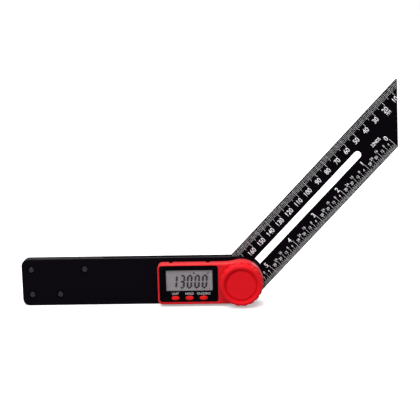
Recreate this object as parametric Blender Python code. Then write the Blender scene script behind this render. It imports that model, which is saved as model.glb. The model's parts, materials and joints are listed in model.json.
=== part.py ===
"""Digital angle finder: a slotted steel rule that swings and slides in a two-plate handle.

The tool stands on the lower long edge of its handle. X runs along the handle towards the
pivot, Z is up and the front, with the display and the clamping knob, faces -Y. Every piece
is modelled around the pivot: x and z are measured from the pivot axis and y from the middle
of the blade's thickness, with the front negative. The origin of the whole model is the
middle of its bounding box, on the surface that it stands on. Sizes are in metres.
"""
import math

import bmesh
import bpy
from mathutils import Vector

# General clearances and resolution
FIT_GAP = 0.0003             # left between two pieces that touch
CUT_OVERRUN = 0.001          # how far a cutter runs past the face that it opens
ROUND_STEPS = 40             # sides of a large round piece
HOLE_STEPS = 16              # sides of a small hole or screw
CORNER_STEPS = 5             # sides of a rounded corner

# Handle: two plates with the blade between them
HANDLE_REACH = 0.1623        # pivot axis to the handle's square end
HANDLE_HEIGHT = 0.035
HANDLE_CORNER = 0.005
PLATE_THICKNESS = 0.0025
PLATE_EDGE = 0.0005          # small bevel around each outer face
WASHER_THICKNESS = 0.0004
SCREW_END_OFFSET = 0.0071    # handle screws, from the square end
SCREW_SIDE_OFFSET = 0.0081   # and from the long edges
SCREW_FAR_OFFSET = 0.0468    # the farthest screw, from the square end
SPACER_MARGIN = 0.0056       # spacer's slanted edge, past its last screw

# Blade: a slotted rule with a 45 degree tip
BLADE_WIDTH = 0.035
BLADE_THICKNESS = 0.0015
BLADE_LENGTH = 0.2
TIP_BLUNT = 0.0008
SLOT_WIDTH = 0.0056
SLOT_START = 0.0563          # long point to the slot's outer end
SLOT_END_WEB = 0.01          # metal left behind the slot's inner end
SLIDE_REST = 0.0028          # bolt to the slot's inner end, as it stands
INCLUDED_ANGLE_DEG = 133.2   # between handle and blade as it stands

# Handle screws
SCREW_HEAD_RADIUS = 0.0021
SCREW_HEAD_HEIGHT = 0.0011
SCREW_SHANK_RADIUS = 0.0012
SCREW_SINK = 0.0004          # head below the plate's face
SCREW_WELL_RADIUS = 0.0028
SCREW_COVER = 0.0006         # metal left behind a blind screw hole
CROSS_WIDTH = 0.0006
CROSS_LENGTH = 0.0026
CROSS_DEPTH = 0.0005

# Pivot stack
BOLT_HEAD_RADIUS = 0.0065
BOLT_HEAD_HEIGHT = 0.0012
JOURNAL_RADIUS = 0.0047
KEY_RADIUS = 0.0035          # the round part of the bolt's double-D shank
THREAD_RADIUS = 0.0024
THREAD_START = 0.012         # front of the blade's middle plane
WASHER_RADIUS = 0.013
ROTOR_RING_GAP = 0.0012       # turning disc's rim inside the board's ring
ROTOR_THICKNESS = 0.0008
SLEEVE_FLANGE_RADIUS = 0.0062
SLEEVE_FLANGE_HEIGHT = 0.0008
SLEEVE_PROUD = 0.0001        # sleeve past the front face of the head

# Head: the red housing of the display
HEAD_REACH = 0.061           # pivot axis to the head's left side
HEAD_HEIGHT = 0.03
HEAD_DROP = 0.0011           # lower long side, further from the pivot than the upper one
HEAD_DEPTH = 0.00935
HEAD_CORNER = 0.0034
HEAD_EDGE = 0.001            # rounding around the front face
HEAD_WALL = 0.0016
HEAD_FRONT_WALL = 0.0012
BOSS_SWELL = 0.0017          # boss past the head's long sides
BOSS_FILLET = 0.04           # hollow curve from the head's sides to the boss
COLUMN_RADIUS = 0.0019
COLUMN_OUT = 0.0035          # screw columns, past the window's sides
COLUMN_LEFT_DROP = 0.0045    # and from the head's long sides
COLUMN_RIGHT_DROP = 0.0037
HEAD_SCREW_RADIUS = 0.0008
HEAD_SCREW_HEAD_RADIUS = 0.0021
HEAD_SCREW_HEAD_HEIGHT = 0.001
HEAD_SCREW_SINK = 0.0002
HEAD_SCREW_DEPTH = 0.0035    # shank inside its column
POST_RADIUS = 0.0015
POST_OUT = 0.003             # board posts, past the window's sides
POST_EDGE = 0.0025           # right posts, from the long edges of the board's neck
BOARD_SCREW_RADIUS = 0.0006
BOARD_SCREW_HEAD_RADIUS = 0.0013
BOARD_SCREW_HEAD_HEIGHT = 0.0006
BOARD_SCREW_DEPTH = 0.0016

# Display
PANEL_MARGIN = 0.0014        # head's left side to the panel
PANEL_KNOB_GAP = 0.00105     # panel to the knob's rim
PANEL_SIDE_MARGIN = 0.00105  # panel to the head's long sides
PANEL_CORNER = 0.0018
PANEL_THICKNESS = 0.0006
WINDOW_LEFT_MARGIN = 0.0048  # panel's sides to the window
WINDOW_RIGHT_MARGIN = 0.00395
WINDOW_TOP_MARGIN = 0.0032
WINDOW_BOTTOM_MARGIN = 0.0081
WINDOW_CORNER = 0.0004
LCD_BORDER = 0.001           # hidden rim of the glass around the window
LCD_THICKNESS = 0.0016
ZEBRA_DEPTH = 0.0015
ZEBRA_HEIGHT = 0.0014
ZEBRA_INSET = 0.0004
BOARD_THICKNESS = 0.0008
BOARD_WALL_GAP = 0.0009      # board's long sides to the head's walls
BOARD_LEFT_INSET = 0.007
BOARD_RIGHT_IN = 0.001       # right end of the wide part, inside the window's side
BOARD_COLUMN_GAP = 0.0015    # board's neck to the screw columns
BOARD_TAB_HEIGHT = 0.0052
BOARD_TAB_INSET = 0.002
BOARD_RING_GAP = 0.0008      # board's ring to the boss's wall
BOARD_BORE_RADIUS = 0.0055
CHIP_SIZE = 0.0048
CHIP_HEIGHT = 0.001

# Buttons
BUTTON_LENGTH = 0.0058
BUTTON_HEIGHT = 0.0031
BUTTON_GAP_SHARE = 0.178     # gap between two buttons, of the panel that they leave free
BUTTON_MARGIN = 0.0029       # middle of the buttons to the panel's lower side
BUTTON_PROUD = 0.0008
BUTTON_FLANGE = 0.0005
BUTTON_FLANGE_THICKNESS = 0.0006
BUTTON_TRAVEL = 0.0006
BUTTON_EDGE = 0.0004
PAD_SIDE = 0.0004

# Battery
CELL_WALL_GAP = 0.00285      # cell's rim to the head's walls, if it lay in their middle
CELL_THICKNESS = 0.0025
CELL_Z = 0.002
CELL_EDGE = 0.0003
TRAY_ARM = 0.0019            # arms beside the cell
TRAY_LID_OVERHANG = 0.0024
TRAY_BACK_GAP = 0.0004
TRAY_DEPTH = 0.00295
TRAY_ARM_SHORT = 0.0015      # arms end above the cell's lowest point
LID_NOTCH_WIDTH = 0.0023
LID_NOTCH_DEPTH = 0.0011
CONTACT_THICKNESS = 0.0003
CONTACT_WIDTH = 0.008
CONTACT_LENGTH = 0.012
CONTACT_SLIT = 0.001
CONTACT_FOOT = 0.0036

# Knob
KNOB_RADIUS = 0.0159
KNOB_HEIGHT = 0.008
KNOB_LOBES = 18
KNOB_SCALLOP = 0.00055
KNOB_BACK_EDGE = 0.0005
KNOB_SHOULDER = 0.0014
KNOB_SHOULDER_IN = 0.0006
KNOB_CREST_INSET = 0.002
KNOB_CREST_IN = 0.0004
KNOB_DISC_INSET = 0.005
KNOB_DISC_SINK = 0.0015
KNOB_GROOVE_WIDTH = 0.0005
KNOB_GROOVE_DEPTH = 0.0002
KNOB_FRONT_WALL = 0.001
KNOB_RIM_WALL = 0.003
KNOB_HUB_RADIUS = 0.0067
KNOB_WASHER_RADIUS = 0.0062
KNOB_WASHER_THICKNESS = 0.0006
NUT_FLATS = 0.009

# Depths from the middle of the blade, front negative
HALF_BLADE = BLADE_THICKNESS / 2
PLATE_INNER = HALF_BLADE + WASHER_THICKNESS + 2 * FIT_GAP
PLATE_OUTER = PLATE_INNER + PLATE_THICKNESS
HEAD_BACK_Y = -PLATE_OUTER - FIT_GAP
HEAD_FRONT_Y = HEAD_BACK_Y - HEAD_DEPTH
PANEL_BACK_Y = HEAD_FRONT_Y + PANEL_THICKNESS
RECESS_FLOOR_Y = PANEL_BACK_Y + FIT_GAP
WALL_BACK_Y = RECESS_FLOOR_Y + HEAD_FRONT_WALL
LCD_FRONT_Y = PANEL_BACK_Y + FIT_GAP
LCD_BACK_Y = LCD_FRONT_Y + LCD_THICKNESS
ZEBRA_FRONT_Y = LCD_BACK_Y + FIT_GAP
ZEBRA_BACK_Y = ZEBRA_FRONT_Y + ZEBRA_DEPTH
BOARD_FRONT_Y = ZEBRA_BACK_Y + FIT_GAP
BOARD_BACK_Y = BOARD_FRONT_Y + BOARD_THICKNESS
BUTTON_FACE_Y = HEAD_FRONT_Y - BUTTON_PROUD
FLANGE_FRONT_Y = WALL_BACK_Y + FIT_GAP
FLANGE_BACK_Y = FLANGE_FRONT_Y + BUTTON_FLANGE_THICKNESS
PAD_FRONT_Y = FLANGE_BACK_Y + BUTTON_TRAVEL + FIT_GAP
PAD_BACK_Y = BOARD_FRONT_Y - FIT_GAP
TRAY_BACK_Y = -PLATE_OUTER - TRAY_BACK_GAP
TRAY_FRONT_Y = TRAY_BACK_Y - TRAY_DEPTH
CELL_BACK_Y = (TRAY_BACK_Y + TRAY_FRONT_Y + CELL_THICKNESS) / 2
ROTOR_FRONT_Y = BOARD_BACK_Y + FIT_GAP
ROTOR_BACK_Y = ROTOR_FRONT_Y + ROTOR_THICKNESS
SLEEVE_FRONT_Y = HEAD_FRONT_Y - SLEEVE_PROUD
KNOB_BACK_Y = HEAD_FRONT_Y - FIT_GAP
KNOB_CREST_Y = KNOB_BACK_Y - KNOB_HEIGHT
KNOB_DISC_Y = KNOB_CREST_Y + KNOB_DISC_SINK
KNOB_CEILING_Y = KNOB_DISC_Y + KNOB_FRONT_WALL
KNOB_WASHER_BACK_Y = SLEEVE_FRONT_Y - FIT_GAP
KNOB_WASHER_FRONT_Y = KNOB_WASHER_BACK_Y - KNOB_WASHER_THICKNESS
HUB_BACK_Y = KNOB_WASHER_FRONT_Y - FIT_GAP
NUT_FRONT_Y = KNOB_CEILING_Y + FIT_GAP
THREAD_END_Y = NUT_FRONT_Y + FIT_GAP

# Sizes that follow from others
HALF_HANDLE = HANDLE_HEIGHT / 2
HALF_HEAD = (HEAD_HEIGHT - HEAD_DROP) / 2
LOWER_HEAD = HALF_HEAD + HEAD_DROP
BLADE_OUT = BLADE_LENGTH - SLOT_END_WEB - KEY_RADIUS - SLIDE_REST
BOSS_RADIUS = HALF_HEAD + BOSS_SWELL
BOARD_RING_RADIUS = BOSS_RADIUS - HEAD_WALL - BOARD_RING_GAP
ROTOR_RADIUS = BOARD_RING_RADIUS - ROTOR_RING_GAP
HALF_BOARD = HALF_HEAD - HEAD_WALL - BOARD_WALL_GAP
HALF_PANEL = HALF_HEAD - PANEL_SIDE_MARGIN
CELL_RADIUS = HALF_HEAD - HEAD_WALL - CELL_WALL_GAP
HALF_TRAY = CELL_RADIUS + FIT_GAP + TRAY_ARM
HALF_LID = HALF_TRAY + TRAY_LID_OVERHANG
KNOB_CREST_RADIUS = KNOB_RADIUS - KNOB_CREST_INSET
KNOB_DISC_RADIUS = KNOB_RADIUS - KNOB_DISC_INSET

# Places in the handle and the head, from the pivot axis
SCREW_Z = HALF_HANDLE - SCREW_SIDE_OFFSET
FAR_SCREW_X = SCREW_FAR_OFFSET - HANDLE_REACH
NEAR_SCREW_X = FAR_SCREW_X - 2 * SCREW_Z
END_SCREW_X = SCREW_END_OFFSET - HANDLE_REACH
HANDLE_SCREWS = [(END_SCREW_X, SCREW_Z), (FAR_SCREW_X, SCREW_Z),
                 (END_SCREW_X, -SCREW_Z), (NEAR_SCREW_X, -SCREW_Z)]
PANEL_LEFT = PANEL_MARGIN - HEAD_REACH
PANEL_RIGHT = -KNOB_RADIUS - PANEL_KNOB_GAP
WINDOW_LEFT = PANEL_LEFT + WINDOW_LEFT_MARGIN
WINDOW_RIGHT = PANEL_RIGHT - WINDOW_RIGHT_MARGIN
WINDOW_TOP = HALF_PANEL - WINDOW_TOP_MARGIN
WINDOW_BOTTOM = WINDOW_BOTTOM_MARGIN - HALF_PANEL
WINDOW_MIDDLE = (WINDOW_LEFT + WINDOW_RIGHT) / 2
CELL_X = WINDOW_MIDDLE
CHIP_LEFT = CELL_X + HALF_TRAY + FIT_GAP
LEFT_COLUMN_Z = HALF_HEAD - COLUMN_LEFT_DROP
RIGHT_COLUMN_Z = HALF_HEAD - COLUMN_RIGHT_DROP
HALF_NECK = RIGHT_COLUMN_Z - COLUMN_RADIUS - BOARD_COLUMN_GAP
POST_Z = HALF_NECK - POST_EDGE
COLUMNS = [(WINDOW_LEFT - COLUMN_OUT, LEFT_COLUMN_Z), (WINDOW_LEFT - COLUMN_OUT, -LEFT_COLUMN_Z),
           (WINDOW_RIGHT + COLUMN_OUT, RIGHT_COLUMN_Z),
           (WINDOW_RIGHT + COLUMN_OUT, -RIGHT_COLUMN_Z)]
POSTS = [(WINDOW_LEFT - POST_OUT, 0), (WINDOW_RIGHT + POST_OUT, POST_Z),
         (WINDOW_RIGHT + POST_OUT, -POST_Z)]
BUTTON_NAMES = ["button_zero", "button_hold", "button_unit"]
BUTTON_FREE = PANEL_RIGHT - PANEL_LEFT - len(BUTTON_NAMES) * BUTTON_LENGTH
BUTTON_PITCH = BUTTON_LENGTH + BUTTON_GAP_SHARE * BUTTON_FREE
BUTTON_Z = BUTTON_MARGIN - HALF_PANEL
BLADE_ANGLE = math.pi - math.radians(INCLUDED_ANGLE_DEG)


def arc(center_x, center_z, radius, start_deg, end_deg, steps):
    """Points of an arc, from one angle to the other, both ends included."""
    points = []
    for i in range(steps + 1):
        angle = math.radians(start_deg + (end_deg - start_deg) * i / steps)
        points.append((center_x + radius * math.cos(angle), center_z + radius * math.sin(angle)))
    return points


def circle(center_x, center_z, radius, steps):
    """Points of a full circle."""
    return arc(center_x, center_z, radius, 0, 360, steps)[:-1]


def ellipse(center_x, center_z, half_x, half_z, steps):
    """Points of an ellipse."""
    return [(center_x + half_x * x, center_z + half_z * z) for x, z in circle(0, 0, 1, steps)]


def rounded_box(left, right, bottom, top, radius, steps=CORNER_STEPS):
    """Outline of a rectangle with round corners."""
    points = arc(right - radius, top - radius, radius, 0, 90, steps)
    points += arc(left + radius, top - radius, radius, 90, 180, steps)
    points += arc(left + radius, bottom + radius, radius, 180, 270, steps)
    return points + arc(right - radius, bottom + radius, radius, 270, 360, steps)


def double_d(radius, flat):
    """Outline of a round shank with two flats, which face up and down."""
    corner = math.degrees(math.asin(flat / radius))
    return arc(0, 0, radius, -corner, corner, CORNER_STEPS) + arc(
        0, 0, radius, 180 - corner, 180 + corner, CORNER_STEPS)


def turned_by(points, angle):
    """Points of an outline turned about the pivot axis, as seen from the front."""
    cos, sin = math.cos(angle), math.sin(angle)
    return [(x * cos - z * sin, x * sin + z * cos) for x, z in points]


def handle_outline(inset):
    """Plate outline: round about the pivot, square with round corners at the far end."""
    half = HALF_HANDLE - inset
    corner = HANDLE_CORNER - inset
    left = inset - HANDLE_REACH
    points = arc(0, 0, half, -90, 90, ROUND_STEPS // 2)
    points += arc(left + corner, half - corner, corner, 90, 180, CORNER_STEPS)
    return points + arc(left + corner, corner - half, corner, 180, 270, CORNER_STEPS)


def spacer_outline():
    """Spacer outline: the handle's square end, closed by an edge at 45 degrees."""
    corner = HANDLE_CORNER
    left = -HANDLE_REACH
    slant_x = FAR_SCREW_X + SPACER_MARGIN - SCREW_Z
    points = [(slant_x - HALF_HANDLE, -HALF_HANDLE), (slant_x + HALF_HANDLE, HALF_HANDLE)]
    points += arc(left + corner, HALF_HANDLE - corner, corner, 90, 180, CORNER_STEPS)
    return points + arc(left + corner, corner - HALF_HANDLE, corner, 180, 270, CORNER_STEPS)


def fillet_place(boss, long_side, fillet):
    """Middle (x, distance from the axis) of a hollow curve and where it meets the boss."""
    out = long_side + fillet
    x = -math.sqrt((boss + fillet) ** 2 - out ** 2)
    return x, out, math.degrees(math.atan2(out, x))


def head_outline(inset):
    """Head outline: a rounded box that flows into the round boss about the pivot."""
    boss = BOSS_RADIUS - inset
    fillet = BOSS_FILLET + inset
    corner = max(HEAD_CORNER - inset, HEAD_CORNER / 4)
    left = inset - HEAD_REACH
    upper_x, upper_z, upper_meet = fillet_place(boss, HALF_HEAD - inset, fillet)
    lower_x, lower_z, lower_meet = fillet_place(boss, LOWER_HEAD - inset, fillet)
    points = arc(0, 0, boss, -lower_meet, upper_meet, ROUND_STEPS // 2)
    points += arc(upper_x, upper_z, fillet, upper_meet - 180, -90, CORNER_STEPS)[1:]
    points += arc(left + corner, HALF_HEAD - inset - corner, corner, 90, 180, CORNER_STEPS)
    points += arc(left + corner, corner + inset - LOWER_HEAD, corner, 180, 270, CORNER_STEPS)
    return points + arc(lower_x, -lower_z, fillet, 90, 180 - lower_meet, CORNER_STEPS)[:-1]


def blade_outline():
    """Rule outline, along +X from the pivot: round tail, 45 degree tip with a blunt point."""
    half = BLADE_WIDTH / 2
    tail_x = BLADE_OUT - BLADE_LENGTH + half
    points = arc(tail_x, 0, half, 90, 270, ROUND_STEPS // 2)
    points.append((BLADE_OUT - BLADE_WIDTH, -half))
    points.append((BLADE_OUT - TIP_BLUNT, half - TIP_BLUNT))
    points.append((BLADE_OUT - TIP_BLUNT, half))
    return points


def slot_outline():
    """Long slot of the rule, round at both ends."""
    half = SLOT_WIDTH / 2
    near = BLADE_OUT - BLADE_LENGTH + SLOT_END_WEB + half
    far = BLADE_OUT - SLOT_START - half
    return arc(far, 0, half, -90, 90, HOLE_STEPS // 2) + arc(
        near, 0, half, 90, 270, HOLE_STEPS // 2)


def tray_outline():
    """Battery tray: a lid across the top and two arms around the cell."""
    wall_top = HALF_HEAD
    lid_bottom = HALF_HEAD - HEAD_WALL
    notch_z = wall_top - LID_NOTCH_DEPTH
    seat = CELL_RADIUS + FIT_GAP
    drop = CELL_RADIUS - TRAY_ARM_SHORT
    mouth = math.degrees(math.asin(drop / seat))
    points = [(HALF_TRAY, CELL_Z - drop), (HALF_TRAY, lid_bottom), (HALF_LID, lid_bottom)]
    points += [(HALF_LID, notch_z), (HALF_LID - LID_NOTCH_WIDTH, notch_z)]
    points.append((HALF_LID - LID_NOTCH_WIDTH, wall_top))
    points += [(-x, z) for x, z in reversed(points)]
    points += arc(0, CELL_Z, seat, 180 + mouth, -mouth, ROUND_STEPS)
    return [(CELL_X + x, z) for x, z in points]


def board_outline():
    """Circuit board: wide under the display, a neck, and a ring about the pivot."""
    wide, neck, tab = HALF_BOARD, HALF_NECK, BOARD_TAB_HEIGHT / 2
    left = BOARD_LEFT_INSET - HEAD_REACH
    right = WINDOW_RIGHT - BOARD_RIGHT_IN
    tab_x = BOARD_TAB_INSET - HEAD_REACH
    meet = 180 - math.degrees(math.asin(neck / BOARD_RING_RADIUS))
    points = arc(0, 0, BOARD_RING_RADIUS, -meet, meet, ROUND_STEPS // 2)
    points += [(right, neck), (right, wide), (left, wide), (left, tab)]
    points += [(tab_x, tab), (tab_x, -tab), (left, -tab), (left, -wide)]
    return points + [(right, -wide), (right, -neck)]


def widest_x(points):
    """The greatest x of an outline."""
    return max(x for x, z in points)


BLADE_FRONT_REACH = widest_x(turned_by(blade_outline(), BLADE_ANGLE))
PIVOT = Vector(((HANDLE_REACH - BLADE_FRONT_REACH) / 2,
                -(KNOB_CREST_Y + PLATE_OUTER) / 2,
                HALF_HANDLE))


def clear_scene():
    """Start from an empty scene."""
    for item in list(bpy.data.objects):
        bpy.data.objects.remove(item, do_unlink=True)


def material(name, color, roughness, metallic=0.0, alpha=1.0):
    """A plain material of one colour."""
    made = bpy.data.materials.new(name)
    made.use_nodes = True
    shader = made.node_tree.nodes["Principled BSDF"]
    shader.inputs["Base Color"].default_value = (*color, 1.0)
    shader.inputs["Roughness"].default_value = roughness
    shader.inputs["Metallic"].default_value = metallic
    shader.inputs["Alpha"].default_value = alpha
    made.diffuse_color = (*color, alpha)
    return made


def finish_object(name, mesh_builder, finish, smooth_deg=30.0):
    """Turn a finished bmesh into an object that sits on the pivot."""
    bmesh.ops.recalc_face_normals(mesh_builder, faces=mesh_builder.faces)
    mesh = bpy.data.meshes.new(name)
    mesh_builder.to_mesh(mesh)
    mesh_builder.free()
    mesh.shade_smooth()
    mesh.set_sharp_from_angle(angle=math.radians(smooth_deg))
    if finish is not None:
        mesh.materials.append(finish)
    item = bpy.data.objects.new(name, mesh)
    item.location = PIVOT
    bpy.context.scene.collection.objects.link(item)
    return item


def add_loft(mesh_builder, loops):
    """Add a closed skin over (y, outline) loops that all have as many points."""
    rings = []
    for y, outline in loops:
        rings.append([mesh_builder.verts.new((x, y, z)) for x, z in outline])
    for ring, following in zip(rings, rings[1:]):
        for i in range(len(ring)):
            j = (i + 1) % len(ring)
            mesh_builder.faces.new((ring[i], ring[j], following[j], following[i]))
    mesh_builder.faces.new(rings[0])
    mesh_builder.faces.new(rings[-1])


def loft(name, loops, finish):
    """One object from a stack of outlines."""
    mesh_builder = bmesh.new()
    add_loft(mesh_builder, loops)
    return finish_object(name, mesh_builder, finish)


def add_plate(mesh_builder, outline, holes, front_y, back_y):
    """Add a flat piece with through holes."""
    edges = []
    for loop in [outline] + holes:
        verts = [mesh_builder.verts.new((x, front_y, z)) for x, z in loop]
        for i, vert in enumerate(verts):
            edges.append(mesh_builder.edges.new((vert, verts[(i + 1) % len(verts)])))
    filled = bmesh.ops.triangle_fill(mesh_builder, use_beauty=True, edges=edges)
    faces = [face for face in filled["geom"] if isinstance(face, bmesh.types.BMFace)]
    grown = bmesh.ops.extrude_face_region(mesh_builder, geom=faces, use_keep_orig=True)
    moved = [vert for vert in grown["geom"] if isinstance(vert, bmesh.types.BMVert)]
    bmesh.ops.translate(mesh_builder, verts=moved, vec=(0, back_y - front_y, 0))


def plate(name, outline, holes, front_y, back_y, finish):
    """One flat object with through holes."""
    mesh_builder = bmesh.new()
    add_plate(mesh_builder, outline, holes, front_y, back_y)
    return finish_object(name, mesh_builder, finish)


def prisms(name, outlines, finish=None):
    """One object of straight prisms, each from (outline, front_y, back_y)."""
    mesh_builder = bmesh.new()
    for outline, front_y, back_y in outlines:
        add_loft(mesh_builder, [(front_y, outline), (back_y, outline)])
    return finish_object(name, mesh_builder, finish)


def add_turned(mesh_builder, profile, center_x, center_z, steps):
    """Add a solid turned about a Y axis, from (radius, y) points with both ends at radius 0."""
    rings = []
    for radius, y in profile:
        if radius == 0:
            rings.append([mesh_builder.verts.new((center_x, y, center_z))])
        else:
            ring = circle(center_x, center_z, radius, steps)
            rings.append([mesh_builder.verts.new((x, y, z)) for x, z in ring])
    for ring, following in zip(rings, rings[1:]):
        for i in range(steps):
            j = (i + 1) % steps
            corners = [ring[i % len(ring)], ring[j % len(ring)],
                       following[j % len(following)], following[i % len(following)]]
            mesh_builder.faces.new(list(dict.fromkeys(corners)))


def turned(name, profile, places, steps, finish=None):
    """One object of equal turned solids at the given (x, z) places."""
    mesh_builder = bmesh.new()
    for center_x, center_z in places:
        add_turned(mesh_builder, profile, center_x, center_z, steps)
    return finish_object(name, mesh_builder, finish)


def pin_profile(steps):
    """Profile of a stepped pin, from (radius, y) pairs: each radius ends at its y."""
    points = [(0, steps[0][1])]
    for (radius, start), (_, end) in zip(steps, steps[1:]):
        points += [(radius, start), (radius, end)]
    return points + [(0, steps[-1][1])]


def screw_set(name, profile, places, finish):
    """Equal screws, each its own numbered object."""
    screws = []
    for number, place in enumerate(places, 1):
        screws.append(turned(f"{name}_{number}", profile, [place], HOLE_STEPS, finish))
    return screws


def combine(item, tool, operation="DIFFERENCE"):
    """Cut or join with a helper object that is not part of the model."""
    tool.hide_render = True
    tool.display_type = "WIRE"
    boolean = item.modifiers.new(tool.name, "BOOLEAN")
    boolean.object = tool
    boolean.operation = operation
    boolean.solver = "EXACT"


def cross_outline(center_x, center_z):
    """A plus sign, the recess of a cross-head screw."""
    arm, half = CROSS_LENGTH / 2, CROSS_WIDTH / 2
    quarter = [(arm, -half), (arm, half), (half, half)]
    points = []
    for turn in range(4):
        points += turned_by(quarter, math.radians(90 * turn))
    return [(center_x + x, center_z + z) for x, z in points]


def build_plates(black):
    """The two long plates, with wells for the screws and bores for the pivot."""
    bore = JOURNAL_RADIUS + FIT_GAP
    hole = SCREW_SHANK_RADIUS + FIT_GAP
    over = CUT_OVERRUN
    bevel_y = PLATE_OUTER - PLATE_EDGE
    front = loft("handle_front_plate", [
        (-PLATE_INNER, handle_outline(0)), (-bevel_y, handle_outline(0)),
        (-PLATE_OUTER, handle_outline(PLATE_EDGE))], black)
    well = -PLATE_OUTER + SCREW_SINK + SCREW_HEAD_HEIGHT + FIT_GAP
    combine(front, turned("front_plate_wells", pin_profile([
        (SCREW_WELL_RADIUS, -PLATE_OUTER - over), (hole, well), (0, over - PLATE_INNER)]),
        HANDLE_SCREWS, HOLE_STEPS))
    sunk = -PLATE_INNER - HEAD_SCREW_SINK - HEAD_SCREW_HEAD_HEIGHT - FIT_GAP
    combine(front, turned("front_plate_head_holes", pin_profile([
        (HEAD_SCREW_RADIUS + FIT_GAP, -PLATE_OUTER - over),
        (HEAD_SCREW_HEAD_RADIUS + FIT_GAP, sunk), (0, over - PLATE_INNER)]), COLUMNS, HOLE_STEPS))
    combine(front, turned("front_plate_bore", pin_profile([
        (bore, -PLATE_OUTER - over), (0, over - PLATE_INNER)]), [(0, 0)], ROUND_STEPS))
    rear = loft("handle_rear_plate", [
        (PLATE_INNER, handle_outline(0)), (bevel_y, handle_outline(0)),
        (PLATE_OUTER, handle_outline(PLATE_EDGE))], black)
    combine(rear, turned("rear_plate_holes", pin_profile([
        (hole, PLATE_INNER - over), (0, PLATE_OUTER - SCREW_COVER)]), HANDLE_SCREWS, HOLE_STEPS))
    seat = PLATE_OUTER - BOLT_HEAD_HEIGHT - 2 * FIT_GAP
    combine(rear, turned("rear_plate_bore", pin_profile([
        (bore, PLATE_INNER - over), (BOLT_HEAD_RADIUS + FIT_GAP, seat), (0, PLATE_OUTER + over)]),
        [(0, 0)], ROUND_STEPS))


def build_spacer(black):
    """The block between the plates, whose slanted edge takes the blade's tip."""
    holes = [circle(x, z, SCREW_SHANK_RADIUS + FIT_GAP, HOLE_STEPS) for x, z in HANDLE_SCREWS]
    plate("end_spacer", spacer_outline(), holes, FIT_GAP - PLATE_INNER, PLATE_INNER - FIT_GAP,
          black)


def build_handle_screws(steel):
    """Four cross-head screws through the front plate and the spacer into the rear plate."""
    head_y = -PLATE_OUTER + SCREW_SINK
    crosses = prisms("screw_crosses", [
        (cross_outline(x, z), head_y - CUT_OVERRUN, head_y + CROSS_DEPTH)
        for x, z in HANDLE_SCREWS])
    for screw in screw_set("handle_screw", pin_profile([
            (SCREW_HEAD_RADIUS, head_y), (SCREW_SHANK_RADIUS, head_y + SCREW_HEAD_HEIGHT),
            (0, PLATE_OUTER - SCREW_COVER - FIT_GAP)]), HANDLE_SCREWS, steel):
        combine(screw, crosses)


def build_blade(coated):
    """The slotted rule, turned to its angle about the pivot."""
    blade = plate("blade", blade_outline(), [slot_outline()], -HALF_BLADE, HALF_BLADE, coated)
    blade.rotation_euler = (0, -BLADE_ANGLE, 0)


def build_pivot(steel, nylon, copper):
    """Bolt, friction washers, clamp sleeve and the turning plate of the angle sensor."""
    flat = SLOT_WIDTH / 2 - FIT_GAP
    seat = PLATE_OUTER - BOLT_HEAD_HEIGHT - FIT_GAP
    ring = circle(0, 0, WASHER_RADIUS, ROUND_STEPS)
    bore = circle(0, 0, KEY_RADIUS + FIT_GAP, HOLE_STEPS)
    far, near = HALF_BLADE + FIT_GAP + WASHER_THICKNESS, HALF_BLADE + FIT_GAP
    plate("front_friction_washer", ring, [bore], -far, -near, nylon)
    plate("rear_friction_washer", ring, [bore], near, far, nylon)
    key = turned_by(double_d(KEY_RADIUS, flat), BLADE_ANGLE)
    joint_y = HALF_BLADE + FIT_GAP
    bolt = turned("pivot_bolt", pin_profile([
        (THREAD_RADIUS, THREAD_END_Y), (JOURNAL_RADIUS, PLATE_INNER),
        (BOLT_HEAD_RADIUS, seat), (0, seat + BOLT_HEAD_HEIGHT)]), [(0, 0)], ROUND_STEPS, steel)
    combine(bolt, prisms("bolt_key", [(key, -THREAD_START, PLATE_INNER + joint_y)]), "UNION")
    socket = turned_by(double_d(KEY_RADIUS + FIT_GAP, flat + FIT_GAP), BLADE_ANGLE)
    flange_y = ROTOR_BACK_Y + FIT_GAP
    sleeve = turned("clamp_sleeve", pin_profile([
        (JOURNAL_RADIUS, SLEEVE_FRONT_Y), (SLEEVE_FLANGE_RADIUS, flange_y),
        (JOURNAL_RADIUS, flange_y + SLEEVE_FLANGE_HEIGHT), (0, -PLATE_INNER)]),
        [(0, 0)], ROUND_STEPS, steel)
    combine(sleeve, prisms("sleeve_socket", [
        (socket, SLEEVE_FRONT_Y - CUT_OVERRUN, CUT_OVERRUN - PLATE_INNER)]))
    plate("sensor_rotor", circle(0, 0, ROTOR_RADIUS, ROUND_STEPS),
          [circle(0, 0, JOURNAL_RADIUS + FIT_GAP, ROUND_STEPS)], ROTOR_FRONT_Y, ROTOR_BACK_Y,
          copper)


def button_places():
    """Centres of the three buttons, from the one nearest the pivot."""
    first = WINDOW_MIDDLE + BUTTON_PITCH * (len(BUTTON_NAMES) - 1) / 2
    return [(first - BUTTON_PITCH * i, BUTTON_Z) for i in range(len(BUTTON_NAMES))]


def lcd_box(grow):
    """Outline of the display glass, grown on every side."""
    rim = LCD_BORDER + grow
    return rounded_box(WINDOW_LEFT - rim, WINDOW_RIGHT + rim, WINDOW_BOTTOM - rim,
                       WINDOW_TOP + rim, WINDOW_CORNER)


def head_posts():
    """Screw columns and board posts, which grow from the inside of the front wall."""
    root_y = WALL_BACK_Y - HEAD_FRONT_WALL / 2
    board_y = BOARD_FRONT_Y - FIT_GAP
    shapes = [(circle(x, z, COLUMN_RADIUS, HOLE_STEPS), root_y, HEAD_BACK_Y) for x, z in COLUMNS]
    shapes += [(circle(x, z, POST_RADIUS, HOLE_STEPS), root_y, board_y) for x, z in POSTS]
    return prisms("head_posts", shapes)


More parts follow.
